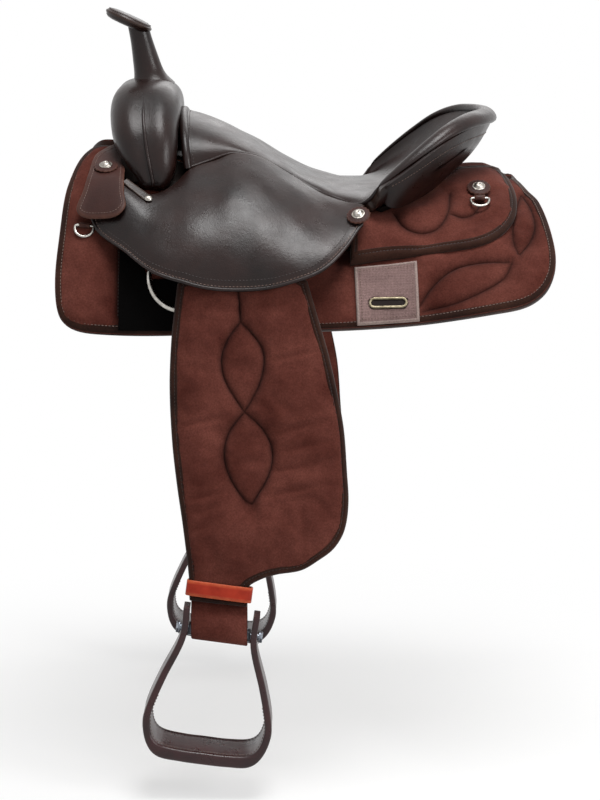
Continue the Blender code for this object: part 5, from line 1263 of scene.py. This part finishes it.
CANTLE_SPAN, CANTLE_CORNER, STITCHED_AT = 0.965, 0.74, 0.82
SKIN_OUTER, SKIN_INNER = 7.6 * MM, 3.6 * MM
span_lines = CANTLE_SPAN * np.sin(np.linspace(-0.5, 0.5, 97) * math.pi)
share_grid, u_grid = np.meshgrid(np.linspace(0, 1, 25), span_lines)
skin_out = cantle_skin(u_grid, share_grid, SKIN_OUTER)
skin_in = cantle_skin(u_grid, share_grid, SKIN_INNER)
# The seam attribute paints shade along the stitched row.
cantle_back = shell("cantle_back_leather", skin_out.reshape(-1, 3), skin_in.reshape(-1, 3),
                    grid_faces(*share_grid.shape[::-1]), seat_leather,
                    seam=np.exp(-np.abs(share_grid - STITCHED_AT) / 0.02).ravel())
single(cantle_back, ["cantle_back"])
AROUND_ROLL = 16
rim_u = np.linspace(-1.0, 1.0, 121)
full = 0.10 + 0.90 * np.maximum(np.cos(0.5 * math.pi * rim_u), 0) ** 0.4
rim_middle = cantle_rim(rim_u, 0.0095 * full, 0.001 * full - 0.001)
roll_rings = []
for k in range(AROUND_ROLL):
    turn = 2 * math.pi * k / AROUND_ROLL
    lift = full * (0.0090 * math.sin(turn) - 0.0045 * math.cos(turn))
    roll_rings.append(rim_middle + outward_at(rim_u) * (0.0120 * full * math.cos(turn))[:, None]
                      + np.stack((0 * lift, 0 * lift, lift), -1))
roll_points = np.stack(roll_rings, 1).reshape(-1, 3)
cantle_roll = object_from("cantle_roll_leather", roll_points, rod_faces(AROUND_ROLL, len(rim_u)),
                          seat_leather)
single(cantle_roll, ["cantle_roll"])
row_u = np.linspace(-0.93, 0.93, 170)
low = cantle_skin(row_u, STITCHED_AT, SKIN_OUTER)
high = cantle_skin(row_u, STITCHED_AT, SKIN_OUTER + 2 * MM)
single(make_stitches("cantle_stitches", low, unit(high - low), brown_thread))
print("cantle skin points:", len(cantle_back.data.vertices))

# %% [markdown]
# Small leather flaps, the front jockeys, cover the tree's front tips. Each carries a silver
# concho on a leather rosette, and under its lower edge hangs the breast-collar dee.

# %% Front jockeys
LEATHER = 4 * MM
FRONT_SIDE = ((-0.269, 0.1015), (-0.254, 0.106), (-0.240, 0.100), (-0.238, 0.078), (-0.236, 0.052),
              (-0.2335, 0.036), (-0.246, 0.024), (-0.2705, 0.020), (-0.290, 0.022), (-0.298, 0.031),
              (-0.291, 0.052), (-0.285, 0.075), (-0.280, 0.094))
STAND_OFF = ((-0.300, 21 * MM), (-0.285, 24 * MM), (-0.262, 33 * MM), (-0.240, 43 * MM),
             (-0.230, 45 * MM))


def front_skin(x, s, d):
    """The skirt's face at the top, and further out below, where the seat jockey lies under it."""
    made = np.array(back(x, s, d))
    share = smooth(((0.068, 1.0), (0.104, 0.0)), made[..., 2])
    made[..., 1] += smooth(STAND_OFF, np.asarray(x, float)) * share
    return made


front_outer = ON_SKIRT + LEATHER
front_jockey, front_line, front_top = make_panel(
    "front_jockey_leather", front_skin, side(front_skin, front_outer, FRONT_SIDE), ON_SKIRT,
    front_outer, front_leather, pitch=3.5 * MM, round_edge=True, wear=0.9)
both_sides(front_jockey, nodes=["front_jockey"])
sew("front_jockey_stitches", front_skin, inset(front_line, 5.5 * MM), front_top, brown_thread,
    pitch=4 * MM)
print("front jockey points:", len(front_jockey.data.vertices))

# %% [markdown]
# Fenders hang in their own plane, which leans outward over the horse's side: u along the saddle,
# v down the fender and n outward. The top is hidden under the jockey, where the fender turns on
# the stirrup leather. One piece of cloth crosses that hinge. Nine short folds cross the padding,
# as a fender creases when it has hung and been bent for a while.

# %% Fenders
FENDER_LEAN = math.radians(8)
FENDER_TOP = np.array((-0.085, 0.2475, -0.090))
FENDER_THICKNESS = 10 * MM
BEND = 16 * MM
FENDER_SIDE = (
    (-0.1635, -0.059, 1), (-0.1685, -0.100), (-0.172, -0.136), (-0.174, -0.191), (-0.171, -0.259),
    (-0.165, -0.314), (-0.157, -0.370), (-0.1495, -0.435), (-0.149, -0.462, 1), (-0.077, -0.470, 1),
    (-0.0765, -0.447), (-0.061, -0.436), (-0.039, -0.429), (-0.007, -0.4235), (0.015, -0.411),
    (0.035, -0.3955), (0.048, -0.373), (0.053, -0.339), (0.051, -0.298), (0.047, -0.245),
    (0.039, -0.201), (0.0265, -0.147), (0.012, -0.098), (0.000, -0.057, 1),
)
TAB_TOP = ((-0.022, -0.048), (-0.085, -0.041), (-0.140, -0.049))


def on_fender(u, v, n):
    """A point in the fender's plane: u along the saddle, v down, n outward."""
    u, v, n = np.broadcast_arrays(np.asarray(u, float), v, n)
    c, s = math.cos(FENDER_LEAN), math.sin(FENDER_LEAN)
    return FENDER_TOP + np.stack((u, s * v + c * n, -c * v + s * n), -1)


def hanging(points):
    """Pattern points of the fender from their places in the side view."""
    return [(x - FENDER_TOP[0], (FENDER_TOP[2] - z) / math.cos(FENDER_LEAN), *kind)
            for x, z, *kind in points]


def fender_face(u, v):
    """The fender's front: crowned across, and fading to flat at its neck and top."""
    crown = np.maximum(0, 1 - ((u + 0.01) / 0.09) ** 2) * np.clip(v / 0.04, 0, 1)
    return 0.5 * FENDER_THICKNESS + 3.5 * MM * crown * np.clip((0.345 - v) / 0.06, 0, 1)


LEAVES = (
    ((-0.0885, -0.060), (-0.0855, -0.088), (-0.0845, -0.108)),
    ((-0.0845, -0.108), (-0.100, -0.130), (-0.1085, -0.155), (-0.104, -0.183), (-0.087, -0.212),
     (-0.0795, -0.2225)),
    ((-0.0845, -0.108), (-0.067, -0.126), (-0.0545, -0.149), (-0.058, -0.182), (-0.072, -0.211),
     (-0.0795, -0.2225)),
    ((-0.0795, -0.2225), (-0.099, -0.249), (-0.105, -0.281), (-0.094, -0.313), (-0.078, -0.335),
     (-0.0695, -0.340)),
    ((-0.0795, -0.2225), (-0.057, -0.243), (-0.044, -0.270), (-0.046, -0.297), (-0.058, -0.322),
     (-0.0690, -0.339)),
)
FOLD_DEPTH, FOLD_WIDTH, FOLD_SLOPE = 1.9 * MM, 6 * MM, 0.22
FOLDS = (   # place along the saddle, height, half length
    (-0.137, -0.2355, 0.020), (-0.128, -0.3285, 0.018), (-0.128, -0.3465, 0.017),
    (-0.134, -0.3705, 0.014), (-0.014, -0.1500, 0.020), (-0.011, -0.2415, 0.024),
    (-0.008, -0.2670, 0.028), (-0.014, -0.2925, 0.026), (-0.014, -0.3225, 0.024),
)


def fender_folds(u, v):
    """Short cross folds, where the hanging weight has creased the padding."""
    height = np.zeros(len(u))
    for x, z, half_length in FOLDS:
        (fold_u, fold_v), = hanging([(x, z)])
        down = (v - fold_v + FOLD_SLOPE * (u - fold_u)) / FOLD_WIDTH
        height -= (1 - down ** 2) * np.exp(-down ** 2 - ((u - fold_u) / half_length) ** 2)
    return FOLD_DEPTH * height


fender_points = hanging(FENDER_SIDE + TAB_TOP)
fender, fender_line, fender_top = make_panel(
    "quilted_fender", on_fender, fender_points, -0.5 * FENDER_THICKNESS, fender_face, cordura,
    seams=[hanging(line) for line in LEAVES], pitch=3.9 * MM, dip=6.4 * MM, ease=8.0 * MM,
    edge_dip=3.2 * MM, edge_ease=11 * MM, ripple=fender_folds, puff=(3.0, 0.05, 6 * MM))
fender_tape = make_binding("fender_binding", on_fender, fender_line, fender_top,
                           -0.5 * FENDER_THICKNESS, binding_tape, width=9 * MM, thick=1.4 * MM,
                           ridges=2)
fender_row = sewn_line(on_fender, inset(fender_line, IN_TAPE), fender_top, 0.3 * MM)
fender_stitches = make_stitches("fender_stitches", *fender_row, dark_thread)


def hung_fender(thing, nodes=()):
    """Both fenders' pieces, with their placing baked into the mesh and their CAD parts hidden."""
    for which, piece in reversed(pair(thing)):
        flip = np.array((1, 1 if which == "right" else -1, 1))
        start, end = (tuple(on_fender(0.0, v, 0.0) * flip) for v in (-BEND, BEND))
        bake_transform(piece)
        if nodes:
            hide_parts(*[f"{node}_{which}" for node in nodes])


hung_fender(fender, ["fender", "fender_tab"])
hung_fender(fender_tape)
hung_fender(fender_stitches)
print("fender points:", len(fender.data.vertices))

# %% [markdown]
# The stirrup leather runs behind the fender in two plies and turns round the stirrup's roller.
# Here it is covered with the same cloth, and it hangs forward a little, as in the photograph.

# %% Stirrup leathers
PLY, SEW_GAP, RUNNING_GAP = 3.5 * MM, 0.5 * MM, 0.6 * MM
LEATHER_WIDTH, LEATHER_TOP, BOLT_DROP = 0.073, 0.012, 0.418
ROLLER_RADIUS, BOLT_RADIUS = 9 * MM, 4.5 * MM
LEATHER_MIDDLE = -0.112 - FENDER_TOP[0]
STIRRUP_TILT = math.radians(7.5)


def ply_level(number):
    """Height of a ply's middle off the fender's plane; ply 0 lies on the fender's back."""
    return -(0.5 * FENDER_THICKNESS + 0.5 * PLY + SEW_GAP + number * (PLY + SEW_GAP))


first, second = ply_level(0), ply_level(1)
wrap = ROLLER_RADIUS + 2 * RUNNING_GAP + 0.5 * PLY
leather_path = [(LEATHER_TOP + t * (BOLT_DROP - 0.034 - LEATHER_TOP), first)
                for t in np.linspace(0, 1, 24)]
leather_path += [(BOLT_DROP - 0.018, first + wrap)]
leather_path += [(BOLT_DROP + wrap * math.sin(a), first + wrap * math.cos(a))
                 for a in np.radians(np.arange(5, 176, 10))]
leather_path += [(BOLT_DROP - 0.022, first - wrap * 0.9)]
leather_path += [(LEATHER_TOP + t * (BOLT_DROP - 0.045 - LEATHER_TOP), second)
                 for t in np.linspace(1, 0, 24)]
leather_path = np.array(leather_path)
slope = unit(np.gradient(leather_path, axis=0))
share = np.clip(leather_path[:, 0] / 0.36, 0, 1)
strap_middle = on_fender(LEATHER_MIDDLE * share, leather_path[:, 0], leather_path[:, 1])
slant = math.tan(STIRRUP_TILT) * share
along_u = on_fender(1.0, 0.0, 0.0) - FENDER_TOP
down_v = on_fender(0.0, 1.0, 0.0) - FENDER_TOP
out_n = on_fender(0.0, 0.0, 1.0) - FENDER_TOP
strap_across = unit(along_u + slant[:, None] * down_v)
strap_off = unit(slope[:, 1:2] * -down_v + slope[:, 0:1] * out_n)
leathers = make_ribbon("stirrup_leather_strap", strap_middle, strap_across, strap_off,
                       0.5 * LEATHER_WIDTH, PLY, cordura)
both_sides(leathers, "lift", ["stirrup_leather"])
print("stirrup leather turns", round(wrap / MM, 1), "mm round its roller")

# %% [markdown]
# The hobble strap keeps the two plies together over the stirrup. It is a short band of orange
# latigo leather; its fastening is out of sight at the back.

# %% Hobble straps
HOBBLE_HALF_WIDTH, HOBBLE_THICKNESS, HOBBLE_HEIGHT = 10 * MM, 2.6 * MM, -0.451
HOBBLE_PLAY, HOBBLE_OFF = 3.7 * MM, 1.4 * MM
hobble_outer = 0.5 * FENDER_THICKNESS + SEW_GAP
hobble_inner = ply_level(1) - 0.5 * PLY - SEW_GAP
hobble_half = 0.5 * LEATHER_WIDTH + HOBBLE_PLAY
hobble_drop = hanging([(0.0, HOBBLE_HEIGHT)])[0][1]
turn = np.linspace(0, 2 * math.pi, 73)
wide = np.sign(np.cos(turn)) * np.abs(np.cos(turn)) ** 0.22 * (hobble_half + HOBBLE_OFF)
deep = np.sign(np.sin(turn)) * np.abs(np.sin(turn)) ** 0.30 * (
    0.5 * (hobble_outer - hobble_inner) + HOBBLE_OFF)
tilt_u, tilt_v = math.cos(STIRRUP_TILT), math.sin(STIRRUP_TILT)
centre_n = 0.5 * (hobble_outer + hobble_inner)
loop = on_fender(LEATHER_MIDDLE + wide * tilt_u, hobble_drop + wide * tilt_v, centre_n + deep)
loop_along = unit(np.gradient(loop, axis=0))
loop_up = unit(on_fender(tilt_v, -tilt_u, 0.0) - FENDER_TOP)
loop_across = np.broadcast_to(loop_up, loop.shape)
loop_off = unit(np.cross(loop_along, loop_across))
hobble = make_ribbon("hobble_strap_leather", loop, loop_across, loop_off, HOBBLE_HALF_WIDTH,
                     HOBBLE_THICKNESS, hobble_leather, wear=0.9)
both_sides(hobble, "lift", ["hobble_strap"])
print("hobble strap loop points:", len(loop))

# %% [markdown]
# The stirrup is a bent wooden bell covered in burgundy leather. Its legs are slim at the neck
# and widen fore and aft to the tread, where the foot rests on a thicker wrapping.

# %% Stirrups
STIRRUP_NECK, STIRRUP_LEG, STIRRUP_HALF_WIDTH = 0.0504, 0.008, 0.083
STIRRUP_HEIGHT, STIRRUP_EAR, STIRRUP_TREAD = 0.168, 0.030, 0.016
TREAD_DEPTH, STIRRUP_TOP_DEPTH = 0.078, 0.034
neck, wide, tall = STIRRUP_NECK, STIRRUP_HALF_WIDTH, STIRRUP_HEIGHT
half_outer = [(neck - 0.001, STIRRUP_EAR), (neck, -0.010), (wide - 0.014, -0.062),
              (wide - 0.002, -0.102), (wide, -0.125), (wide - 0.008, -0.150),
              (wide - 0.024, -tall + 0.003), (0.030, -tall), (0.0, -tall - 0.0005)]
half_inner = [(neck - STIRRUP_LEG - 0.001, STIRRUP_EAR), (neck - STIRRUP_LEG, -0.012),
              (wide - 0.0225, -0.064), (wide - 0.0105, -0.104), (wide - 0.0095, -0.122),
              (wide - 0.015, -0.140), (wide - 0.028, -tall + STIRRUP_TREAD + 0.003),
              (0.027, -tall + STIRRUP_TREAD), (0.0, -tall + STIRRUP_TREAD)]
bolt_place = Vector(on_fender(LEATHER_MIDDLE, BOLT_DROP, ply_level(0)))
stirrup_place = (Matrix.Translation(bolt_place) @ Matrix.Rotation(STIRRUP_TILT, 4, "Y")
                 @ Matrix.Rotation(math.pi / 2, 4, "X"))


def along_bell(half, samples):
    """A smooth line down one leg, across the tread and up the other, at even parameters."""
    whole = half + [(-x, y) for x, y in half[-2::-1]]
    table_x = [(k, p[0]) for k, p in enumerate(whole)]
    table_y = [(k, p[1]) for k, p in enumerate(whole)]
    return np.stack((smooth(table_x, samples), smooth(table_y, samples)), -1)


samples = np.linspace(0, 16, 129)
bell_outer, bell_inner = along_bell(half_outer, samples), along_bell(half_inner, samples)
share = np.clip(-0.5 * (bell_outer + bell_inner)[:, 1] / 0.150, 0, 1)
bell_depth = STIRRUP_TOP_DEPTH + (TREAD_DEPTH - STIRRUP_TOP_DEPTH) * share ** 1.3
AROUND_LEG = 28
rings = []
for k in range(AROUND_LEG):
    turn = 2 * math.pi * (k + 0.5) / AROUND_LEG
    c, s = math.cos(turn), math.sin(turn)
    thick = 0.5 + 0.5 * np.sign(c) * abs(c) ** 0.45
    deep = 0.5 * np.sign(s) * abs(s) ** 0.42
    bead = 0.09 if abs(abs(deep) - 0.46) < 0.035 else 0.0
    thick = thick + bead * np.sign(thick - 0.5)
    flat = bell_inner + (bell_outer - bell_inner) * thick
    rings.append(np.concatenate((flat, (bell_depth * deep)[:, None]), 1))
bell_points = placed(np.stack(rings, 1).reshape(-1, 3), stirrup_place)
bell = object_from("stirrup_covering", bell_points, rod_faces(AROUND_LEG, len(samples)),
                   stirrup_leather, sharp=60)
both_sides(bell, "stirrup", ["stirrup"])
sewn = slice(20, 109)   # both legs and the tread, without the ears
inward = -unit(bell_outer - bell_inner)[sewn]
rotation = np.array(stirrup_place.to_3x3()).T
for number, deep in enumerate((-0.40, 0.40)):
    depth_line = (bell_depth[sewn] * deep)[:, None]
    row = np.concatenate((bell_inner[sewn] + inward * 0.2 * MM, depth_line), 1)
    up = np.concatenate((inward, 0 * depth_line), 1)
    both_sides(make_stitches(f"stirrup_stitches_{number}", placed(row, stirrup_place),
                             unit(up @ rotation), brown_thread, pitch=4.2 * MM), "stirrup")
print("stirrup points:", len(bell.data.vertices))

# %% [markdown]
# Some leather is hidden but real: the stirrup leather's turn over the bar, the strap that holds
# the rigging dee, and the ground seat under the padding. The CAD solid of each is copied and
# remeshed in small cells, then relaxed, which rounds its cut edges as a leather worker's edging
# tool does.

# %% Hidden leather
def relaxed(node_name, cell, material):
    """A softened copy of a CAD node: fine even cells, smoothed a little."""
    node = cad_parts[node_name]
    mesh = bpy.data.meshes.new_from_object(node)
    mesh.transform(node.matrix_world)
    made = bpy.data.objects.new(node_name + "_leather", mesh)
    bpy.context.scene.collection.objects.link(made)
    remesh = made.modifiers.new("cells", "REMESH")
    remesh.mode = "VOXEL"
    remesh.voxel_size = cell
    remesh.use_smooth_shade = True
    relax = made.modifiers.new("relax", "SMOOTH")
    relax.factor = 0.5
    relax.iterations = 2
    graph = bpy.context.evaluated_depsgraph_get()
    fine = bpy.data.meshes.new_from_object(made.evaluated_get(graph))
    made.modifiers.clear()
    made.data = fine
    fine.materials.clear()
    fine.materials.append(material)
    return made


single(relaxed("ground_seat", 2.5 * MM, hidden_leather), ["ground_seat"])
for node in [f"{base}_{which}" for base in ("stirrup_leather_bight", "rigging_strap")
             for which in SIDES]:
    strap = relaxed(node, 1.2 * MM, hidden_leather)
    single(strap, [node])
print("hidden leather points:", len(strap.data.vertices))

# %% [markdown]
# A small strap runs from behind the front jockey to a screw, and keeps the seat jockey down on
# the rigging. It is plain leather, lighter than the jockey because it has never been waxed.

# %% Keeper strap
def surface_frame(surface, x, s, d):
    """A matrix on a surface: X along the saddle, Y down the surface, Z off it."""
    here = Vector(surface(x, s, d))
    along = (Vector(surface(x + STEP, s, d)) - here).normalized()
    down = Vector(surface(x, s + STEP, d)) - here
    off = along.cross(down).normalized()
    made = Matrix((along, off.cross(along), off)).transposed().to_4x4()
    made.translation = here
    return made


def place_at(surface, x, z, depth, level):
    """A matrix on a surface, where the side view shows (x, z) at a depth off it."""
    return surface_frame(surface, *side(surface, depth, [(x, z)])[0], level)


keeper_line = np.array(side(flank, 6 * MM, [(-0.236, 0.066), (-0.228, 0.060), (-0.218, 0.053),
                                            (-0.208, 0.046), (-0.203, 0.043)]))
keeper_middle = flank(keeper_line[:, 0], keeper_line[:, 1], 5.2 * MM)
keeper_off = unit(flank(keeper_line[:, 0], keeper_line[:, 1], 9 * MM) - keeper_middle)
keeper_along = unit(np.gradient(keeper_middle, axis=0))
keeper_wide = np.array((4.5, 5.2, 5.8, 6.0, 5.0)) * MM
both_sides(make_ribbon("keeper_strap", keeper_middle, unit(np.cross(keeper_off, keeper_along)),
                       keeper_off, keeper_wide, 2.2 * MM, keeper_leather))
screw_place = place_at(flank, -0.205, 0.044, 6 * MM, 6 * MM)
SCREW = ((0.05, 3.4), (2.0, 3.2), (3.8, 2.4), (5.0, 1.2), (5.6, 0.0), (5.2, -0.6), (0.05, -0.6))
both_sides(turned("keeper_screw", in_mm(SCREW), screw_place, antique_silver))
keeper_length = float(np.linalg.norm(keeper_middle[-1] - keeper_middle[0]))
print("keeper strap is", round(keeper_length / MM), "mm")

# %% [markdown]
# A concho is a small cast silver dome with a beaded rim, screwed through a leather rosette whose
# edge is pinked into scallops. The rosette is cut from the saddle's own leather.

# %% Conchos
TURN = np.arange(96) * 2 * math.pi / 96
ROSETTE = ((0.05, 0.0), (14.6, 0.0), (15.4, 0.5), (15.4, 1.7), (14.4, 2.5), (13.2, 2.3),
           (12.2, 2.6), (9.4, 3.1), (0.05, 3.2))
DOME = ((0.05, 3.0), (8.1, 3.0), (8.6, 3.6), (8.3, 4.3), (7.4, 4.4), (6.9, 3.9), (6.5, 4.4),
        (5.7, 6.0), (4.0, 7.3), (2.2, 7.9), (1.5, 7.7), (1.1, 7.1), (0.05, 7.0))


def make_concho(node, place):
    """A rosette with scallops and a dome with beads, on both sides of the saddle."""
    scallops = 1 + 0.035 * np.cos(16 * TURN)
    beads = 1 + 0.018 * np.cos(24 * TURN)
    rosette = turned(node + "_rosette", in_mm(ROSETTE), place, front_leather, steps=96,
                     oval=(scallops, scallops), worn=[0, 0.2, 0.8, 0.8, 0.3, 0, 0, 0, 0])
    both_sides(rosette, nodes=[node])
    dome = turned(node + "_dome", in_mm(DOME), place, antique_silver, steps=96,
                  oval=(beads, beads))
    both_sides(dome, nodes=[node])


ring_height = 5.3 * MM
rear_place = place_at(over_bars, 0.228, 0.036, jockey_outer, jockey_outer + ring_height)
rear_place = rear_place @ Matrix.Translation((0, -0.7 * MM, -0.5 * MM))
collar_place = place_at(back, -0.288, 0.006, ON_SKIRT, ON_SKIRT + ring_height)
concho_places = {
    "front_concho": place_at(front_skin, -0.263, 0.080, front_outer, front_outer + LAYER_GAP),
    "seat_concho": place_at(flank, 0.068, 0.020, JOCKEY_FACE, 4.9 * MM),
    "rear_concho": rear_place @ Matrix.Translation((0, -0.025, -3.1 * MM)),
}
for node, place in concho_places.items():
    make_concho(node, place)
    print(node, "at x", round(place.translation.x, 3))

# %% [markdown]
# Dees are bent from round rod and welded shut at the bar. Their corners are curves, as a rod
# can't turn sharply, so each outline of straight runs is cut twice at its corners.

# %% Dees and their loops
def rounded(line):
    """A closed line with its corners cut twice."""
    line = np.asarray(line, float)
    for _ in range(2):
        after = np.roll(line, -1, 0)
        line = np.stack((0.75 * line + 0.25 * after, 0.25 * line + 0.75 * after), 1).reshape(-1, 2)
    return line


def make_dee(name, place, line, radius, level, body, nodes):
    """A closed rod in a fitting's own plane, raised to a level."""
    points = placed([(x, y, level) for x, y in rounded(line)], place)
    up = np.array(place.to_3x3() @ Vector((0, 0, 1)))
    made = make_tube(name, points, radius, nickel, sides=14, closed=True, flatten=0.92, up=up)
    both_sides(made, body, nodes)


SMALL_REACH, SMALL_ROD = 12 * MM, 1.8 * MM
BIG_REACH, BIG_ROD = 44 * MM, 3.6 * MM
small_turn = np.radians(np.arange(0, 181, 12))
small_line = [(SMALL_REACH * math.cos(a), 4 * MM + SMALL_REACH * math.sin(a)) for a in small_turn]
small_line += [(-11.6 * MM, 0.0), (0.0, 0.0), (11.6 * MM, 0.0)]
make_dee("breast_collar_ring", collar_place, small_line, SMALL_ROD, 0.0, "collar_dee",
         ["breast_collar_dee"])
make_dee("rear_ring", rear_place, small_line, SMALL_ROD, 0.0, "rear_dee", ["rear_dee"])
dee_place = place_at(back, -0.161, -0.0885, ON_SKIRT + 3.2 * MM, ON_SKIRT + NEOPRENE + 1.8 * MM)
dee_place = dee_place @ Matrix.Translation((0, -0.034, 0))
big_turn = np.radians(np.arange(-6, 187, 6))
big_line = [(BIG_REACH * math.cos(a), BIG_REACH * math.sin(a)) for a in big_turn]
big_line += [(x * MM, -10.4 * MM) for x in (-39, -20, 0, 20, 39)]
make_dee("rigging_ring", dee_place, big_line, BIG_ROD, 2.9 * MM, "rigging_dee", ["rigging_dee"])
for name, place, length, node in (("collar_loop", collar_place, 0.026, "front_jockey"),
                                  ("rear_loop", rear_place, 0.030, "rear_concho")):
    tail = -ring_height + 1.6 * MM
    path = [(-length, tail), (-0.7 * length, tail), (-5.4 * MM, tail)]
    path += [(3.4 * MM * math.sin(a), -3.4 * MM * math.cos(a))
             for a in np.radians((-20, 20, 60, 100, 140, 180, 215))]
    middle = placed([(0.0, y, z) for y, z in path], place)
    across = np.broadcast_to(np.array(place.to_3x3() @ Vector((1, 0, 0))), middle.shape)
    off = unit(np.cross(across, unit(np.gradient(middle, axis=0))))
    loop = make_ribbon(name, middle, across, off, 7 * MM, 2 * MM, front_leather)
    both_sides(loop, nodes=[node])
print("dees are", round(2000 * (BIG_REACH + BIG_ROD), 1), "and",
      round(2000 * (SMALL_REACH + SMALL_ROD), 1), "mm wide")

# %% [markdown]
# The stirrup hangs on a bolt with a hexagonal head, and a roller that lets the leather turn. The
# slot for the rear billet is rimmed with a slim brass ring so that the tongue doesn't cut it.

# %% Bolt, slot ring and buckle
bolt_axis = stirrup_place @ Matrix.Rotation(math.pi / 2, 4, "Y")
face, roller_half = STIRRUP_NECK + 1.2 * MM, STIRRUP_NECK - STIRRUP_LEG - 2.2 * MM
shaft = [(0.1 * MM, -face), (BOLT_RADIUS, -face), (BOLT_RADIUS, -roller_half),
         (ROLLER_RADIUS - 0.8 * MM, -roller_half), (ROLLER_RADIUS, -roller_half + 0.8 * MM),
         (ROLLER_RADIUS, roller_half - 0.8 * MM), (ROLLER_RADIUS - 0.8 * MM, roller_half),
         (BOLT_RADIUS, roller_half), (BOLT_RADIUS, face), (0.1 * MM, face)]
both_sides(turned("stirrup_roller", shaft, bolt_axis, zinc_steel), "stirrup", ["stirrup_bolt"])
WASHER = ((0.1, 0.0), (8.6, 0.0), (8.6, 0.9), (0.1, 0.9))
HEXAGON = ((0.1, 0.9), (7.4, 0.9), (7.6, 1.4), (7.6, 3.9), (6.6, 4.5), (0.1, 4.5))
for name, start, reach in (("stirrup_bolt_head", face, 1), ("stirrup_bolt_nut", -face, -1)):
    for part, profile, steps in (("washer", WASHER, 48), ("hexagon", HEXAGON, 6)):
        moved = [(r, start + reach * h) for r, h in in_mm(profile)]
        both_sides(turned(f"{name}_{part}", moved, bolt_axis, zinc_steel, steps=steps), "stirrup",
                   ["stirrup_bolt"])
ring_turn = np.radians(np.arange(-90, 91, 15))
slot_run, slot_radius = 0.5 * (SLOT_LENGTH - SLOT_WIDTH), 6.0 * MM
slot_line = [(slot_run + slot_radius * math.cos(a), slot_radius * math.sin(a)) for a in ring_turn]
slot_line += [(-x, -y) for x, y in slot_line]
slot_place = surface_frame(back, slot_middle[0], slot_middle[1], ON_SKIRT + 4 * MM)
slot_points = placed([(x, y, 1.0 * MM) for x, y in slot_line], slot_place)
slot_up = np.array(slot_place.to_3x3() @ Vector((0, 0, 1)))
both_sides(make_tube("rear_slot_ring", slot_points, 1.8 * MM, dull_brass, sides=14, closed=True,
                     flatten=0.7, up=slot_up), nodes=["rear_slot_plate"])
plug = [(x, y, level * MM) for level in (-2.5, 0.2) for x, y in slot_line]
both_sides(object_from("rear_slot_lining", placed(plug, slot_place), rod_faces(len(slot_line), 2),
                       hidden_leather))
kept = [f"{base}_{which}" for base in ("leather_buckle", "buckle_sleeve") for which in SIDES]
for name in kept:
    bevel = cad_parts[name].modifiers.new("filed_edges", "BEVEL")
    bevel.width = 0.4 * MM
    bevel.segments = 3
tree_parts = ["tree_fork", "tree_cantle", *[f"tree_bar_{which}" for which in SIDES]]
for names, finish in ((kept + ["horn_post"], zinc_steel), (tree_parts, tree_cover)):
    for name in names:
        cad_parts[name].data.materials.clear()
        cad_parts[name].data.materials.append(finish)
print("CAD shapes kept:", len(kept) + len(tree_parts) + 1)

# %% [markdown]
# A white sweep of paper under and behind the saddle. Only the camera, reflections and clear
# things see it as pure white; the cloth is lit by three large soft lamps: overhead, from the
# right, and behind. The floor shows the saddle's soft shadow right below it.

# %% Studio
FLOOR_LEVEL, FLOOR_HALF = -0.72, 9


def clear_rays(tree):
    """One for the rays that look, mirror or pass through, and zero for those that only light."""
    rays = add(tree, "ShaderNodeLightPath")
    kinds = [rays.outputs[f"Is {kind} Ray"] for kind in ("Camera", "Glossy", "Transmission")]
    first = add(tree, "ShaderNodeMath", [(0, kinds[0]), (1, kinds[1])], operation="MAXIMUM")
    return add(tree, "ShaderNodeMath", [(0, first), (1, kinds[2])], operation="MAXIMUM")


floor_mesh = bpy.data.meshes.new("studio_floor")
corners = ((-1, -1), (1, -1), (1, 1), (-1, 1))
floor_mesh.from_pydata([(x * FLOOR_HALF, y * FLOOR_HALF, FLOOR_LEVEL) for x, y in corners], [],
                       [(0, 1, 2, 3)])
floor = bpy.data.objects.new("studio_floor", floor_mesh)
bpy.context.scene.collection.objects.link(floor)
floor_paint, tree, shader, place = new_material("white_paper_sweep", "f4f4f4", 0.95)
away = add(tree, "ShaderNodeVectorMath", [("Vector", place)], operation="LENGTH")
far = add(tree, "ShaderNodeMapRange", [("Value", away.outputs["Value"])], From_Min=0.75,
          From_Max=1.25, To_Min=0.60, interpolation_type="SMOOTHSTEP")
clear = clear_rays(tree)
share = add(tree, "ShaderNodeMath", [(0, far), (1, clear)], operation="MULTIPLY")
glow = add(tree, "ShaderNodeEmission", Color=(1, 1, 1, 1), Strength=1.0)
blended = add(tree, "ShaderNodeMixShader", [(0, share), (1, shader), (2, glow)])
tree.links.new(blended.outputs[0], tree.nodes["Material Output"].inputs["Surface"])
floor_mesh.materials.append(floor_paint)

world = bpy.data.worlds.new("studio_world")
bpy.context.scene.world = world
world.use_nodes = True
tree = world.node_tree
sky = tree.nodes["Background"]
sky.inputs["Color"].default_value = (1, 1, 1, 1)
sky.inputs["Strength"].default_value = 0.30
bright = add(tree, "ShaderNodeBackground", Color=(1, 1, 1, 1), Strength=1.0)
clear = clear_rays(tree)
blended = add(tree, "ShaderNodeMixShader", [(0, clear), (1, sky.outputs[0]),
                                            (2, bright.outputs[0])])
tree.links.new(blended.outputs[0], tree.nodes["World Output"].inputs["Surface"])


def lamp(name, stand, aim, size, watts):
    """A square soft lamp that faces a point."""
    data = bpy.data.lights.new(name, "AREA")
    data.size = size
    data.energy = watts
    made = bpy.data.objects.new(name, data)
    made.location = stand
    made.rotation_euler = (Vector(aim) - Vector(stand)).to_track_quat("-Z", "Y").to_euler()
    bpy.context.scene.collection.objects.link(made)
    return made


key = lamp("key_softbox", (0.3, -0.8, 2.8), (0.0, -0.1, 0.0), 1.5, 88)
fill = lamp("fill_softbox", (2.3, -1.7, 1.0), (0.0, -0.1, -0.1), 1.1, 34)
rim = lamp("rim_softbox", (0.6, 2.4, 1.8), (0.0, 0.0, 0.0), 1.8, 16)
print("lamps in watts:", [light.data.energy for light in (key, fill, rim)])
